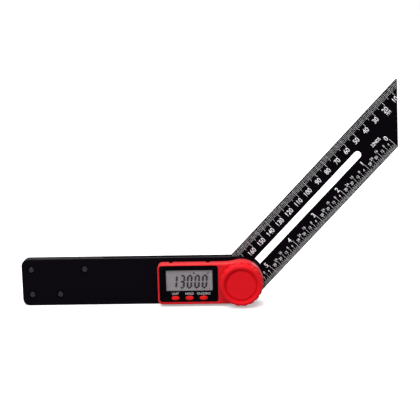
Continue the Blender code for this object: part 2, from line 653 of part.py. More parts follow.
def build_head(red):
    """The housing: a shell that is open at the back, where the front plate closes it."""
    over = CUT_OVERRUN
    edge, turn = HEAD_EDGE, math.radians(45)
    soft = edge * (1 - math.cos(turn))
    head = loft("head_housing", [
        (HEAD_BACK_Y, head_outline(0)), (HEAD_FRONT_Y + edge, head_outline(0)),
        (HEAD_FRONT_Y + soft, head_outline(soft)), (HEAD_FRONT_Y, head_outline(edge))], red)
    combine(head, prisms("head_cavity", [
        (head_outline(HEAD_WALL), WALL_BACK_Y, HEAD_BACK_Y + over)]))
    combine(head, head_posts(), "UNION")
    panel = rounded_box(PANEL_LEFT - FIT_GAP, PANEL_RIGHT + FIT_GAP, -HALF_PANEL - FIT_GAP,
                        HALF_PANEL + FIT_GAP, PANEL_CORNER + FIT_GAP)
    combine(head, prisms("head_recess", [(panel, HEAD_FRONT_Y - over, RECESS_FLOOR_Y)]))
    through = [(lcd_box(FIT_GAP), HEAD_FRONT_Y - over, WALL_BACK_Y + over)]
    for x, z in button_places():
        hole = ellipse(x, z, BUTTON_LENGTH / 2 + FIT_GAP, BUTTON_HEIGHT / 2 + FIT_GAP, HOLE_STEPS)
        through.append((hole, HEAD_FRONT_Y - over, WALL_BACK_Y + over))
    through.append((circle(0, 0, JOURNAL_RADIUS + FIT_GAP, ROUND_STEPS), HEAD_FRONT_Y - over,
                    WALL_BACK_Y + over))
    combine(head, prisms("head_windows", through))
    column_end = HEAD_BACK_Y - HEAD_SCREW_DEPTH - FIT_GAP
    holes = [(circle(x, z, HEAD_SCREW_RADIUS + FIT_GAP, HOLE_STEPS), column_end,
              HEAD_BACK_Y + over) for x, z in COLUMNS]
    board_y = BOARD_FRONT_Y - FIT_GAP
    holes += [(circle(x, z, BOARD_SCREW_RADIUS + FIT_GAP, HOLE_STEPS),
               board_y - BOARD_SCREW_DEPTH - FIT_GAP, board_y + over) for x, z in POSTS]
    combine(head, prisms("head_screw_holes", holes))
    slot = HALF_LID + FIT_GAP
    slot_box = rounded_box(CELL_X - slot, CELL_X + slot, HALF_HEAD - HEAD_WALL - over,
                           HALF_HEAD + over, FIT_GAP, 1)
    combine(head, prisms("head_tray_slot", [
        (slot_box, TRAY_FRONT_Y - FIT_GAP, HEAD_BACK_Y + over)]))


def build_head_screws(steel):
    """Screws from between the plates into the head, and small ones for the board."""
    head_y = -PLATE_INNER - HEAD_SCREW_SINK
    screw_set("head_screw", pin_profile([
        (HEAD_SCREW_RADIUS, HEAD_BACK_Y - HEAD_SCREW_DEPTH),
        (HEAD_SCREW_HEAD_RADIUS, head_y - HEAD_SCREW_HEAD_HEIGHT), (0, head_y)]),
        COLUMNS, steel)
    back = BOARD_BACK_Y + FIT_GAP
    screw_set("board_screw", pin_profile([
        (BOARD_SCREW_RADIUS, BOARD_FRONT_Y - FIT_GAP - BOARD_SCREW_DEPTH),
        (BOARD_SCREW_HEAD_RADIUS, back), (0, back + BOARD_SCREW_HEAD_HEIGHT)]),
        POSTS, steel)


def build_display(black, clear, glass, rubber):
    """Front panel with its clear lens, display glass and two contact strips behind it."""
    window = rounded_box(WINDOW_LEFT, WINDOW_RIGHT, WINDOW_BOTTOM, WINDOW_TOP, WINDOW_CORNER)
    holes = [window]
    for x, z in button_places():
        holes.append(ellipse(x, z, BUTTON_LENGTH / 2 + FIT_GAP, BUTTON_HEIGHT / 2 + FIT_GAP,
                             HOLE_STEPS))
    outline = rounded_box(PANEL_LEFT, PANEL_RIGHT, -HALF_PANEL, HALF_PANEL, PANEL_CORNER)
    plate("display_panel", outline, holes, HEAD_FRONT_Y, PANEL_BACK_Y, black)
    lens = rounded_box(WINDOW_LEFT + FIT_GAP, WINDOW_RIGHT - FIT_GAP, WINDOW_BOTTOM + FIT_GAP,
                       WINDOW_TOP - FIT_GAP, WINDOW_CORNER)
    plate("display_lens", lens, [], HEAD_FRONT_Y, PANEL_BACK_Y, clear)
    plate("lcd_glass", lcd_box(0), [], LCD_FRONT_Y, LCD_BACK_Y, glass)
    rim = LCD_BORDER - ZEBRA_INSET
    left, right = WINDOW_LEFT - rim, WINDOW_RIGHT + rim
    low, high = WINDOW_BOTTOM - rim, WINDOW_TOP + rim
    strips = [(low, low + ZEBRA_HEIGHT), (high - ZEBRA_HEIGHT, high)]
    for place, (bottom, top) in zip(("lower", "upper"), strips):
        strip = [(left, bottom), (right, bottom), (right, top), (left, top)]
        prisms(f"contact_strip_{place}", [(strip, ZEBRA_FRONT_Y, ZEBRA_BACK_Y)], rubber)


def build_board(green, black):
    """Circuit board with its ring of sensor tracks, and the processor."""
    holes = [circle(x, z, BOARD_SCREW_RADIUS + FIT_GAP, HOLE_STEPS) for x, z in POSTS]
    holes.append(circle(0, 0, BOARD_BORE_RADIUS, ROUND_STEPS))
    plate("circuit_board", board_outline(), holes, BOARD_FRONT_Y, BOARD_BACK_Y, green)
    half = CHIP_SIZE / 2
    chip_y = BOARD_BACK_Y + FIT_GAP
    square = rounded_box(CHIP_LEFT, CHIP_LEFT + CHIP_SIZE, -half, half, FIT_GAP, 1)
    plate("processor_chip", square, [], chip_y, chip_y + CHIP_HEIGHT, black)


def build_buttons(red, rubber):
    """Three oval push buttons and the rubber pad that springs them back."""
    half_x, half_z = BUTTON_LENGTH / 2, BUTTON_HEIGHT / 2
    wide = ellipse(0, 0, half_x + BUTTON_FLANGE, half_z + BUTTON_FLANGE, HOLE_STEPS)
    cap = ellipse(0, 0, half_x, half_z, HOLE_STEPS)
    face = ellipse(0, 0, half_x - BUTTON_EDGE, half_z - BUTTON_EDGE, HOLE_STEPS)
    depth = FLANGE_BACK_Y - BUTTON_FACE_Y
    loops = [(depth, wide), (FLANGE_FRONT_Y - BUTTON_FACE_Y, wide),
             (FLANGE_FRONT_Y - BUTTON_FACE_Y, cap), (BUTTON_EDGE, cap), (0, face)]
    for name, (x, z) in zip(BUTTON_NAMES, button_places()):
        button = loft(name, loops, red)
        button.location = PIVOT + Vector((x, BUTTON_FACE_Y, z))
    reach = BUTTON_PITCH * (len(BUTTON_NAMES) - 1) / 2 + half_x + BUTTON_FLANGE + PAD_SIDE
    outline = rounded_box(WINDOW_MIDDLE - reach, WINDOW_MIDDLE + reach,
                          BUTTON_Z - half_z - PAD_SIDE, BUTTON_Z + half_z + PAD_SIDE, half_z)
    plate("button_pad", outline, [], PAD_FRONT_Y, PAD_BACK_Y, rubber)


def build_battery(red, steel, brass):
    """Coin cell in its pull-out tray, with the two contacts on the board."""
    plate("battery_tray", tray_outline(), [], TRAY_FRONT_Y, TRAY_BACK_Y, red)
    front = CELL_BACK_Y - CELL_THICKNESS
    turned("coin_cell", [
        (0, front), (CELL_RADIUS - CELL_EDGE, front), (CELL_RADIUS, front + CELL_EDGE),
        (CELL_RADIUS, CELL_BACK_Y), (0, CELL_BACK_Y)], [(CELL_X, CELL_Z)], ROUND_STEPS, steel)
    leaf_y = BOARD_BACK_Y + FIT_GAP
    half_x, half_z = CONTACT_WIDTH / 2, CONTACT_LENGTH / 2
    leaf = rounded_box(CELL_X - half_x, CELL_X + half_x, CELL_Z - half_z, CELL_Z + half_z,
                       CONTACT_SLIT)
    slits = [rounded_box(CELL_X + x - CONTACT_SLIT / 2, CELL_X + x + CONTACT_SLIT / 2,
                         CELL_Z - half_x, CELL_Z + half_x, CONTACT_SLIT / 4)
             for x in (-half_x / 2, half_x / 2)]
    plate("minus_contact", leaf, slits, leaf_y, leaf_y + CONTACT_THICKNESS, brass)
    top = CELL_Z - CELL_RADIUS - FIT_GAP
    below = top - CONTACT_THICKNESS
    foot_box = [(CELL_X - half_x, below - CONTACT_FOOT), (CELL_X + half_x, below - CONTACT_FOOT),
                (CELL_X + half_x, top), (CELL_X - half_x, top)]
    contact = prisms("plus_contact", [(foot_box, leaf_y, CELL_BACK_Y)], brass)
    hollow = [(CELL_X - half_x - CUT_OVERRUN, below - CONTACT_FOOT - CUT_OVERRUN),
              (CELL_X + half_x + CUT_OVERRUN, below - CONTACT_FOOT - CUT_OVERRUN),
              (CELL_X + half_x + CUT_OVERRUN, below), (CELL_X - half_x - CUT_OVERRUN, below)]
    combine(contact, prisms("plus_contact_bend", [
        (hollow, leaf_y + CONTACT_THICKNESS, CELL_BACK_Y + CUT_OVERRUN)]))


def knob_ring(radius, scallop_share):
    """A ring of the knob, with a shallow scallop between each two lobes."""
    steps = KNOB_LOBES * 4
    points = []
    for i in range(steps):
        angle = math.tau * i / steps
        dip = ((1 + math.cos(KNOB_LOBES * angle)) / 2) ** 2
        reach = radius - KNOB_SCALLOP * scallop_share * dip
        points.append((reach * math.cos(angle), reach * math.sin(angle)))
    return points


def build_knob(red, steel, brass):
    """Lobed knob with its brass nut, and the washer that it presses on the sleeve."""
    shoulder_y = KNOB_CREST_Y + KNOB_SHOULDER
    disc = KNOB_DISC_RADIUS
    groove = disc + KNOB_GROOVE_WIDTH
    groove_y = KNOB_DISC_Y + KNOB_GROOVE_DEPTH
    inner_slope = (KNOB_CREST_RADIUS + groove) / 2
    knob = loft("clamp_knob", [
        (KNOB_BACK_Y, knob_ring(KNOB_RADIUS - KNOB_BACK_EDGE, 1)),
        (KNOB_BACK_Y - KNOB_BACK_EDGE, knob_ring(KNOB_RADIUS, 1)),
        (shoulder_y, knob_ring(KNOB_RADIUS - KNOB_SHOULDER_IN / 2, 1)),
        (KNOB_CREST_Y + KNOB_CREST_IN, knob_ring(KNOB_RADIUS - 2 * KNOB_SHOULDER_IN, 0.5)),
        (KNOB_CREST_Y, knob_ring(KNOB_CREST_RADIUS, 0)),
        (KNOB_CREST_Y + KNOB_CREST_IN, knob_ring(inner_slope, 0)),
        (groove_y, knob_ring(groove, 0)),
        (groove_y, knob_ring(disc, 0)),
        (KNOB_DISC_Y, knob_ring(disc - KNOB_GROOVE_DEPTH, 0))], red)
    hollow = KNOB_RADIUS - KNOB_RIM_WALL
    back = KNOB_BACK_Y + CUT_OVERRUN
    combine(knob, turned("knob_hollow", [
        (0, back), (hollow, back), (hollow, KNOB_CEILING_Y), (KNOB_HUB_RADIUS, KNOB_CEILING_Y),
        (KNOB_HUB_RADIUS, HUB_BACK_Y), (0, HUB_BACK_Y)], [(0, 0)], ROUND_STEPS))
    corner = NUT_FLATS / 2 / math.cos(math.radians(30))
    pocket = circle(0, 0, corner + FIT_GAP, 6)
    combine(knob, prisms("knob_pocket", [(pocket, KNOB_CEILING_Y, HUB_BACK_Y + CUT_OVERRUN)]))
    plate("knob_nut", circle(0, 0, corner, 6),
          [circle(0, 0, THREAD_RADIUS + FIT_GAP, HOLE_STEPS)], NUT_FRONT_Y, HUB_BACK_Y, brass)
    plate("knob_washer", circle(0, 0, KNOB_WASHER_RADIUS, ROUND_STEPS),
          [circle(0, 0, THREAD_RADIUS + FIT_GAP, HOLE_STEPS)], KNOB_WASHER_FRONT_Y,
          KNOB_WASHER_BACK_Y, steel)


def build_all():
    """Every piece, in the order in which it would be put together."""
    clear_scene()
    black_plate = material("handle_black", (0.012, 0.010, 0.013), 0.42)
    black_blade = material("blade_black", (0.010, 0.008, 0.011), 0.45, 0.3)
    panel_black = material("panel_black", (0.004, 0.003, 0.005), 0.25)
    red = material("head_red", (0.72, 0.022, 0.035), 0.38)
    button_red = material("button_red", (0.80, 0.020, 0.025), 0.4)
    steel = material("steel", (0.55, 0.55, 0.56), 0.32, 1.0)
    dark_steel = material("dark_steel", (0.08, 0.08, 0.085), 0.4, 1.0)
    brass = material("brass", (0.72, 0.52, 0.22), 0.35, 1.0)
    nylon = material("nylon", (0.75, 0.74, 0.70), 0.55)
    copper = material("copper_track", (0.70, 0.36, 0.20), 0.4, 1.0)
    green = material("board_green", (0.02, 0.16, 0.07), 0.45)
    chip = material("chip_black", (0.02, 0.02, 0.022), 0.5)
    rubber = material("grey_rubber", (0.22, 0.22, 0.23), 0.7)
    glass = material("lcd_grey", (0.23, 0.205, 0.23), 0.3)
    clear = material("clear_lens", (0.9, 0.9, 0.9), 0.1, alpha=0.25)
    build_plates(black_plate)
    build_spacer(black_plate)
    build_handle_screws(dark_steel)
    build_blade(black_blade)
    build_pivot(steel, nylon, copper)
    build_head(red)
    build_head_screws(steel)
    build_display(panel_black, clear, glass, rubber)
    build_board(green, chip)
    build_buttons(button_red, rubber)
    build_battery(red, steel, brass)
    build_knob(red, steel, brass)


build_all()
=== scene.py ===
# %% [markdown]
# # A digital angle finder, dressed for its picture
#
# The tool is a sliding bevel with a display: a black handle of two plates, a slotted black rule
# with white scales, a red head with a small screen and three buttons, and a red clamping knob on
# the pivot. Its solids come ready made in a frame. This lesson gives each its finish, and where
# a plain solid is too coarse for a close look, a finer piece takes its place.

import json
import math

import bmesh
import bpy
from mathutils import Matrix, Vector


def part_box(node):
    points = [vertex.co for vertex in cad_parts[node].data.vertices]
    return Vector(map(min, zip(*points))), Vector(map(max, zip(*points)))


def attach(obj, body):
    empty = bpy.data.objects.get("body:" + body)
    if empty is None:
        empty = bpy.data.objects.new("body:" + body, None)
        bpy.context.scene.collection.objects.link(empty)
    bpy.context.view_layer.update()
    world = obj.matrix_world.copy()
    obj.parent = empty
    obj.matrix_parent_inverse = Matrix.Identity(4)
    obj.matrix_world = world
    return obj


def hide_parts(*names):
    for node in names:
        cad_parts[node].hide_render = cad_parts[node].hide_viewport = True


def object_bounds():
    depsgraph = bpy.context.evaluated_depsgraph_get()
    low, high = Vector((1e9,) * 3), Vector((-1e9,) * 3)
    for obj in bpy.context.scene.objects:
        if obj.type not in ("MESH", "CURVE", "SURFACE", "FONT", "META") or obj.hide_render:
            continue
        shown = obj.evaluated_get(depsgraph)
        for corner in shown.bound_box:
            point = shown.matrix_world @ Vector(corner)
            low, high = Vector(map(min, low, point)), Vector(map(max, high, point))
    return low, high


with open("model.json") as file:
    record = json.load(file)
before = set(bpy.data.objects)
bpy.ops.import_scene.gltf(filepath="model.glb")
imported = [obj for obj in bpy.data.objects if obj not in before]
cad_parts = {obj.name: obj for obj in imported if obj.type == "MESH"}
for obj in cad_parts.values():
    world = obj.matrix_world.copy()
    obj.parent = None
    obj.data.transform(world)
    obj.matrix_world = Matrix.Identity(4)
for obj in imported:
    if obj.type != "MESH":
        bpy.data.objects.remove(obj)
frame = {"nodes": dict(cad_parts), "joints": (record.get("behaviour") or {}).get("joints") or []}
cad_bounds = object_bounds()
nodes = frame["nodes"]
joints = {joint["name"]: joint for joint in frame["joints"]}
print("nodes:", len(nodes), "joints:", len(joints))

# %% [markdown]
# ## Where things are
#
# Everything is laid out from the pivot: x to the right along the handle, z up, and y through the
# thickness with the front negative. Places come from the joints and the boxes of the frame.
# Sizes that no box gives are named beside their piece, in metres.

# %% Places taken from the frame
MM = 0.001
PIVOT = Vector(joints["blade_swing"]["pos_m"])
RULE_AXIS = Vector(joints["blade_slide"]["axis"]).normalized()
RULE_ANGLE = math.atan2(RULE_AXIS.z, RULE_AXIS.x)


def side(node, corner, axis):
    """One side of a node's box, measured from the pivot: corner 0 is low, 1 is high."""
    return (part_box(node)[corner] - PIVOT)["xyz".index(axis)]


HALF_HANDLE = side("handle_front_plate", 1, "z")
HANDLE_LEFT = side("handle_front_plate", 0, "x")
PLATE_FRONT = side("handle_front_plate", 0, "y")
PLATE_INNER = side("handle_front_plate", 1, "y")
HALF_RULE = side("blade", 1, "y")
HEAD_FRONT = side("head_housing", 0, "y")
HEAD_BACK = side("head_housing", 1, "y")
HEAD_LEFT = side("head_housing", 0, "x")
BOSS_RADIUS = side("head_housing", 1, "z")
KNOB_RADIUS = side("clamp_knob", 1, "x")
KNOB_FRONT = side("clamp_knob", 0, "y")
KNOB_BACK = side("clamp_knob", 1, "y")
FIT_GAP = 0.3 * MM
print("pivot", tuple(round(v, 5) for v in PIVOT), "rule at", round(math.degrees(RULE_ANGLE), 2))

# %% [markdown]
# ## The camera
#
# The picture was taken from a little above, with a long lens. The rule carries its own scales,
# so the camera could be found by laying its ticks, the rule's edges and the head over the
# picture.

# %% Camera at the picture's viewpoint
FRAME_PIXELS = 420
FOCAL_PIXELS = 1056.0
CAMERA_FROM_PIVOT = Vector((-1.846, -759.199, 199.765)) * MM
CAMERA_PITCH = math.radians(-11.009)
CAMERA_YAW = math.radians(1.520)
CAMERA_ROLL = math.radians(-1.188)
SENSOR_WIDTH = 36

camera_data = bpy.data.cameras.new("picture_camera")
camera_data.sensor_width = SENSOR_WIDTH
camera_data.lens = FOCAL_PIXELS / FRAME_PIXELS * SENSOR_WIDTH
camera_data.clip_start = 0.05
camera = bpy.data.objects.new("picture_camera", camera_data)
bpy.context.scene.collection.objects.link(camera)
turn = Matrix.Rotation(CAMERA_YAW, 4, "Z") @ Matrix.Rotation(
    math.radians(90) + CAMERA_PITCH, 4, "X") @ Matrix.Rotation(CAMERA_ROLL, 4, "Z")
camera.matrix_world = Matrix.Translation(PIVOT + CAMERA_FROM_PIVOT) @ turn
bpy.context.scene.camera = camera
bpy.context.scene.view_settings.view_transform = "Standard"
print("lens", round(camera_data.lens, 2), "mm")

# %% [markdown]
# ## Node helpers
#
# Every finish below is a small network of shader nodes. These helpers add a node and fill its
# inputs, or hand back the output of a sum, a soft step, a noise, a blend or a bump. Two more
# start a material and a node group, which is a home-made node with its own inputs and outputs.

# %% Helpers that build node networks


def fill(tree, node, values):
    """Set a node's inputs, by name or number, to plain values or to other nodes' outputs."""
    for key, value in values.items():
        if isinstance(value, bpy.types.NodeSocket):
            tree.links.new(value, node.inputs[key])
        else:
            node.inputs[key].default_value = value
    return node


def add_node(tree, kind, values=None, **settings):
    """A new node with its settings and inputs."""
    node = tree.nodes.new(kind)
    for name, value in settings.items():
        setattr(node, name, value)
    return fill(tree, node, values or {})


def place_group(tree, group, values):
    """A node group placed in a material."""
    return add_node(tree, "ShaderNodeGroup", values, node_tree=group)


def sum_of(tree, operation, *values, **settings):
    """The output of a sum of numbers."""
    return add_node(tree, "ShaderNodeMath", dict(enumerate(values)), operation=operation,
                    **settings).outputs[0]


def vector_sum(tree, operation, *values):
    """The output of a sum of vectors: a number for a length or a dot product, else a vector."""
    node = add_node(tree, "ShaderNodeVectorMath", dict(enumerate(values)), operation=operation)
    return node.outputs["Value" if operation in ("LENGTH", "DOT_PRODUCT") else "Vector"]


def soft_step(tree, value, low, high, bottom=0.0, top=1.0):
    """A value moved from the range low to high into the range bottom to top."""
    return add_node(tree, "ShaderNodeMapRange", {
        "Value": value, "From Min": low, "From Max": high, "To Min": bottom,
        "To Max": top}).outputs["Result"]


def blend(tree, factor, first, second):
    """A colour between two others, each a plain colour or an output."""
    first, second = [color if isinstance(color, bpy.types.NodeSocket) else (*color, 1)
                     for color in (first, second)]
    return add_node(tree, "ShaderNodeMix", {"Factor": factor, 6: first, 7: second},
                    data_type="RGBA").outputs[2]


def noise(tree, place, scale, detail, roughness=0.5):
    """The grey tone of a noise."""
    return add_node(tree, "ShaderNodeTexNoise", {
        "Vector": place, "Scale": scale, "Detail": detail, "Roughness": roughness}).outputs["Fac"]


def bump(tree, height, depth, strength=1.0):
    """The normal of a surface with a fine relief."""
    return add_node(tree, "ShaderNodeBump", {
        "Height": height, "Strength": strength, "Distance": depth}).outputs["Normal"]


def own_place(tree):
    """The place on the object, in metres."""
    return add_node(tree, "ShaderNodeTexCoord").outputs["Object"]


def start_material(name):
    """An empty material with a Principled shader on its output."""
    made = bpy.data.materials.new(name)
    made.use_nodes = True
    return made, made.node_tree, made.node_tree.nodes["Principled BSDF"]


def start_group(name, inputs, outputs):
    """A node group whose inputs are (name, kind, default) and whose outputs are numbers."""
    tree = bpy.data.node_groups.new(name, "ShaderNodeTree")
    for label, kind, default in inputs:
        socket = tree.interface.new_socket(label, in_out="INPUT", socket_type="NodeSocket" + kind)
        socket.default_value = default
    for label in outputs:
        tree.interface.new_socket(label, in_out="OUTPUT", socket_type="NodeSocketFloat")
    return tree, tree.nodes.new("NodeGroupInput").outputs, tree.nodes.new("NodeGroupOutput")


print("node helpers ready")

# %% [markdown]
# ## Effects that several finishes share
#
# Moulded plastic and baked coatings are never perfectly even: they have a fine grain, a gloss
# that changes a little from place to place and paler rubbed edges, and metal keeps the fine
# lines of its tool. As node groups these effects have no seams and no limit of detail, and each
# material sets its own scale.

# %% Grain: a fine leathery height and a slow change of gloss


def uneven_gloss(tree, tone, given):
    """Gloss that swings with a tone around its middle value."""
    return sum_of(tree, "MULTIPLY_ADD", sum_of(tree, "SUBTRACT", tone, 0.5),
                  given["Gloss Range"], given["Gloss"])


grain, given, result = start_group(
    "fine_grain", [("Grain Scale", "Float", 4000.0), ("Patch Scale", "Float", 60.0),
                   ("Gloss", "Float", 0.4), ("Gloss Range", "Float", 0.06)],
    ["Height", "Gloss", "Patches"])
place = own_place(grain)
pores = add_node(grain, "ShaderNodeTexVoronoi", {"Vector": place, "Scale": given["Grain Scale"]},
                 feature="SMOOTH_F1").outputs["Distance"]
speckle = noise(grain, place, given["Grain Scale"], 3.0)
patches = noise(grain, place, given["Patch Scale"], 4.0, 0.6)
fill(grain, result, {"Height": sum_of(grain, "ADD", pores, speckle),
                     "Gloss": uneven_gloss(grain, patches, given), "Patches": patches})
print("group", grain.name)

# %% Rubbed edges: a mask that is white where the surface turns sharply outwards
edges, given, result = start_group(
    "rubbed_edges", [("Reach", "Float", 0.0003), ("Strength", "Float", 1.0),
                     ("Break Scale", "Float", 900.0)], ["Mask"])
bent = add_node(edges, "ShaderNodeBevel", {"Radius": given["Reach"]}, samples=4).outputs["Normal"]
straight = add_node(edges, "ShaderNodeNewGeometry").outputs["Normal"]
turned_away = soft_step(edges, vector_sum(edges, "DOT_PRODUCT", bent, straight), 0.995, 0.85)
breaks = soft_step(edges, noise(edges, own_place(edges), given["Break Scale"], 3.0), 0.35, 0.7)
worn = sum_of(edges, "MULTIPLY", turned_away, breaks)
fill(edges, result, {"Mask": sum_of(edges, "MULTIPLY", worn, given["Strength"], use_clamp=True)})
print("group", edges.name)

# %% Tool lines: fine parallel scratches, long in one direction
lines, given, result = start_group(
    "tool_lines", [("Stretch", "Vector", (40.0, 4000.0, 4000.0)), ("Gloss", "Float", 0.3),
                   ("Gloss Range", "Float", 0.15)], ["Height", "Gloss"])
stretched = vector_sum(lines, "MULTIPLY", own_place(lines), given["Stretch"])
scratches = noise(lines, stretched, 1.0, 4.0, 0.65)
fill(lines, result, {"Height": scratches, "Gloss": uneven_gloss(lines, scratches, given)})
print("group", lines.name)

# %% Around the pivot: the distance from its axis and the angle about it
around, given, result = start_group("around_pivot", [], ["Radius", "Angle"])
from_pivot = vector_sum(around, "SUBTRACT", own_place(around), PIVOT)
flat = vector_sum(around, "MULTIPLY", from_pivot, (1.0, 0.0, 1.0))
parts = add_node(around, "ShaderNodeSeparateXYZ", {0: flat}).outputs
fill(around, result, {"Radius": vector_sum(around, "LENGTH", flat),
                      "Angle": sum_of(around, "ARCTAN2", parts["Z"], parts["X"])})
print("group", around.name)

# %% [markdown]
# ## Plastics and coatings
#
# Head, knob, buttons, panel, handle, rule, display glass, rubber and chip are the same kind of
# surface with other values: a base colour that drifts slightly, a fine grain and edges rubbed a
# little paler. One recipe makes them all.

# %% The recipe for plastics and coatings
EDGE_REACH = 0.3 * MM
GLOSS_RANGE = 0.08


def grained_finish(name, color, rubbed, gloss, grain_scale, grain_depth, level=0.5, wear=0.4,
                   drift=0.12, sheen=0.0):
    """A material of one pigment with grain, drifting tone and paler rubbed edges."""
    made, tree, shader = start_material(name)
    surface = place_group(tree, grain, {"Grain Scale": grain_scale, "Gloss": gloss,
                                        "Gloss Range": GLOSS_RANGE}).outputs
    rub = place_group(tree, edges, {"Reach": EDGE_REACH, "Strength": wear}).outputs["Mask"]
    tone = blend(tree, surface["Patches"], [value * (1 - drift) for value in color],
                 [value * (1 + drift) for value in color])
    fill(tree, shader, {"Base Color": blend(tree, rub, tone, rubbed),
                        "Roughness": surface["Gloss"],
                        "Normal": bump(tree, surface["Height"], grain_depth * MM),
                        "Specular IOR Level": level, "Sheen Weight": sheen})
    return made


finishes = {
    "handle_black": grained_finish("coated_handle", (0.0020, 0.0010, 0.0030), (0.012, 0.010, 0.014),
                                   0.42, 5200, 0.006, level=0.035, wear=0.5),
    "blade_black": grained_finish("coated_rule", (0.0018, 0.0008, 0.0022), (0.008, 0.007, 0.009),
                                  0.40, 7000, 0.002, level=0.025, wear=0.4),
    "head_red": grained_finish("moulded_head", (0.660, 0.0050, 0.0110), (0.76, 0.03, 0.04), 0.36,
                               4200, 0.003, level=0.12, wear=0.25, drift=0.05, sheen=0.14),
    "knob_red": grained_finish("moulded_knob", (0.710, 0.0080, 0.0150), (0.76, 0.03, 0.04), 0.42,
                               4200, 0.003, level=0.04, wear=0.25, drift=0.05, sheen=0.02),
    "button_red": grained_finish("moulded_buttons", (0.74, 0.010, 0.012), (0.84, 0.04, 0.05),
                                 0.38, 5000, 0.002, level=0.10, wear=0.2, drift=0.05),
    "panel_black": grained_finish("smooth_panel", (0.0012, 0.0007, 0.0015), (0.006, 0.006, 0.007),
                                  0.18, 3000, 0.0006, level=0.02, wear=0.2),
    "lcd_grey": grained_finish("display_glass", (0.172, 0.160, 0.168), (0.22, 0.21, 0.22), 0.30,
                               1500, 0.0004, level=0.3, wear=0.1, drift=0.04),
    "nylon": grained_finish("nylon", (0.72, 0.71, 0.67), (0.8, 0.79, 0.76), 0.55, 3000, 0.003),
    "grey_rubber": grained_finish("rubber", (0.20, 0.20, 0.21), (0.26, 0.26, 0.27), 0.72, 2600,
                                  0.006),
    "chip_black": grained_finish("chip_resin", (0.018, 0.018, 0.020), (0.04, 0.04, 0.042), 0.5,
                                 6000, 0.004),
}
print("plastics and coatings:", ", ".join(finishes))

# %% [markdown]
# ## The knob's ring of painted shade
#
# Between the knob's rim and its flat middle the moulding goes deep, and the red looks darker and
# purer there from shade. That shade is painted: inside that ring, measured from the knob's axis,
# the pigment is mixed towards a deeper red.

# %% Painted shade: a deeper red in the ring around the knob's middle
RING_INNER = KNOB_RADIUS - 5.2 * MM
RING_OUTER = KNOB_RADIUS - 3.7 * MM
RING_BLUR = 0.25 * MM
# painted shade: this deeper red stands for the shade deep in the knob's groove
RING_SHADE_RED = (0.64, 0.0020, 0.0060)


def deepen_ring(made):
    """Mix painted shade, a deeper red, into a finish between two distances from the pivot's axis.
    """
    tree = made.node_tree
    shader = tree.nodes["Principled BSDF"]
    pigment = shader.inputs["Base Color"].links[0].from_socket
    radius = place_group(tree, around, {}).outputs["Radius"]
    ring = sum_of(tree, "MULTIPLY",
                  soft_step(tree, radius, RING_OUTER + RING_BLUR, RING_OUTER - RING_BLUR),
                  soft_step(tree, radius, RING_INNER - RING_BLUR, RING_INNER + RING_BLUR))
    fill(tree, shader, {"Base Color": blend(tree, ring, pigment, RING_SHADE_RED)})


deepen_ring(finishes["knob_red"])
print("ring from", round(RING_INNER / MM, 1), "to", round(RING_OUTER / MM, 1), "mm")

# %% [markdown]
# ## Metals
#
# Bolt, washers, cell and small screws are bare or blackened steel, nut and contacts are brass.
# Their finish comes from fine tool lines: one noise, stretched along x, gives both the height
# and the gloss.

# %% The recipe for metals
LINE_STRETCH = (300.0, 6000.0, 6000.0)
LINE_DEPTH = 0.001 * MM


def lined_metal(name, color, worn_color, gloss):
    """A bare metal with fine tool lines and brighter rubbed edges."""
    made, tree, shader = start_material(name)
    tool = place_group(tree, lines, {"Stretch": LINE_STRETCH, "Gloss": gloss,
                                     "Gloss Range": 0.18}).outputs
    rub = place_group(tree, edges, {"Reach": EDGE_REACH / 2, "Strength": 0.5}).outputs["Mask"]
    fill(tree, shader, {"Base Color": blend(tree, rub, color, worn_color),
                        "Roughness": tool["Gloss"], "Metallic": 1.0,
                        "Normal": bump(tree, tool["Height"], LINE_DEPTH)})
    return made


finishes["steel"] = lined_metal("bright_steel", (0.56, 0.56, 0.57), (0.75, 0.75, 0.75), 0.32)
finishes["dark_steel"] = lined_metal("blackened_steel", (0.045, 0.044, 0.05), (0.2, 0.2, 0.21),
                                     0.36)
finishes["brass"] = lined_metal("brass", (0.72, 0.50, 0.21), (0.86, 0.66, 0.36), 0.33)
print("metals: steel, dark_steel, brass")

# %% [markdown]
# ## Circuit board and sensor disc
#
# The board's green lacquer shows pale copper runs under it, which are stripes from a wave
# texture. The sensor's turning disc has bare copper fields around its rim. They come from the
# angle around the pivot and so repeat exactly.

# %% Green lacquer with copper runs


def board_finish():
    """Lacquered laminate with straight copper runs that show through."""
    made, tree, shader = start_material("lacquered_board")
    surface = place_group(tree, grain, {"Grain Scale": 2500, "Gloss": 0.34, "Gloss Range": 0.1})
    runs = add_node(tree, "ShaderNodeTexWave", {
        "Vector": own_place(tree), "Scale": 260.0, "Distortion": 3.0, "Detail": 1.0,
        "Detail Scale": 0.4}, bands_direction="Z").outputs["Fac"]
    raised = soft_step(tree, runs, 0.62, 0.70)
    fill(tree, shader, {
        "Base Color": blend(tree, raised, (0.012, 0.120, 0.050), (0.030, 0.230, 0.090)),
        "Roughness": surface.outputs["Gloss"], "Normal": bump(tree, raised, 0.01 * MM, 0.8)})
    return made


finishes["board_green"] = board_finish()
print("board lacquer ready")

# %% Copper fields of the sensor disc
SENSOR_FIELDS = 24
SENSOR_FIELD_RADIUS = 8.5 * MM


def sensor_finish():
    """Laminate with a ring of copper fields around the pivot."""
    made, tree, shader = start_material("sensor_disc")
    surface = place_group(tree, grain, {"Grain Scale": 2500, "Gloss": 0.36, "Gloss Range": 0.1})
    place = place_group(tree, around, {}).outputs
    wave = sum_of(tree, "SINE", sum_of(tree, "MULTIPLY", place["Angle"], float(SENSOR_FIELDS)))
    shown = sum_of(tree, "MULTIPLY",
                   sum_of(tree, "GREATER_THAN", place["Radius"], SENSOR_FIELD_RADIUS),
                   sum_of(tree, "GREATER_THAN", wave, 0.0))
    fill(tree, shader, {
        "Base Color": blend(tree, shown, (0.020, 0.130, 0.060), (0.72, 0.36, 0.20)),
        "Metallic": shown, "Roughness": surface.outputs["Gloss"]})
    return made


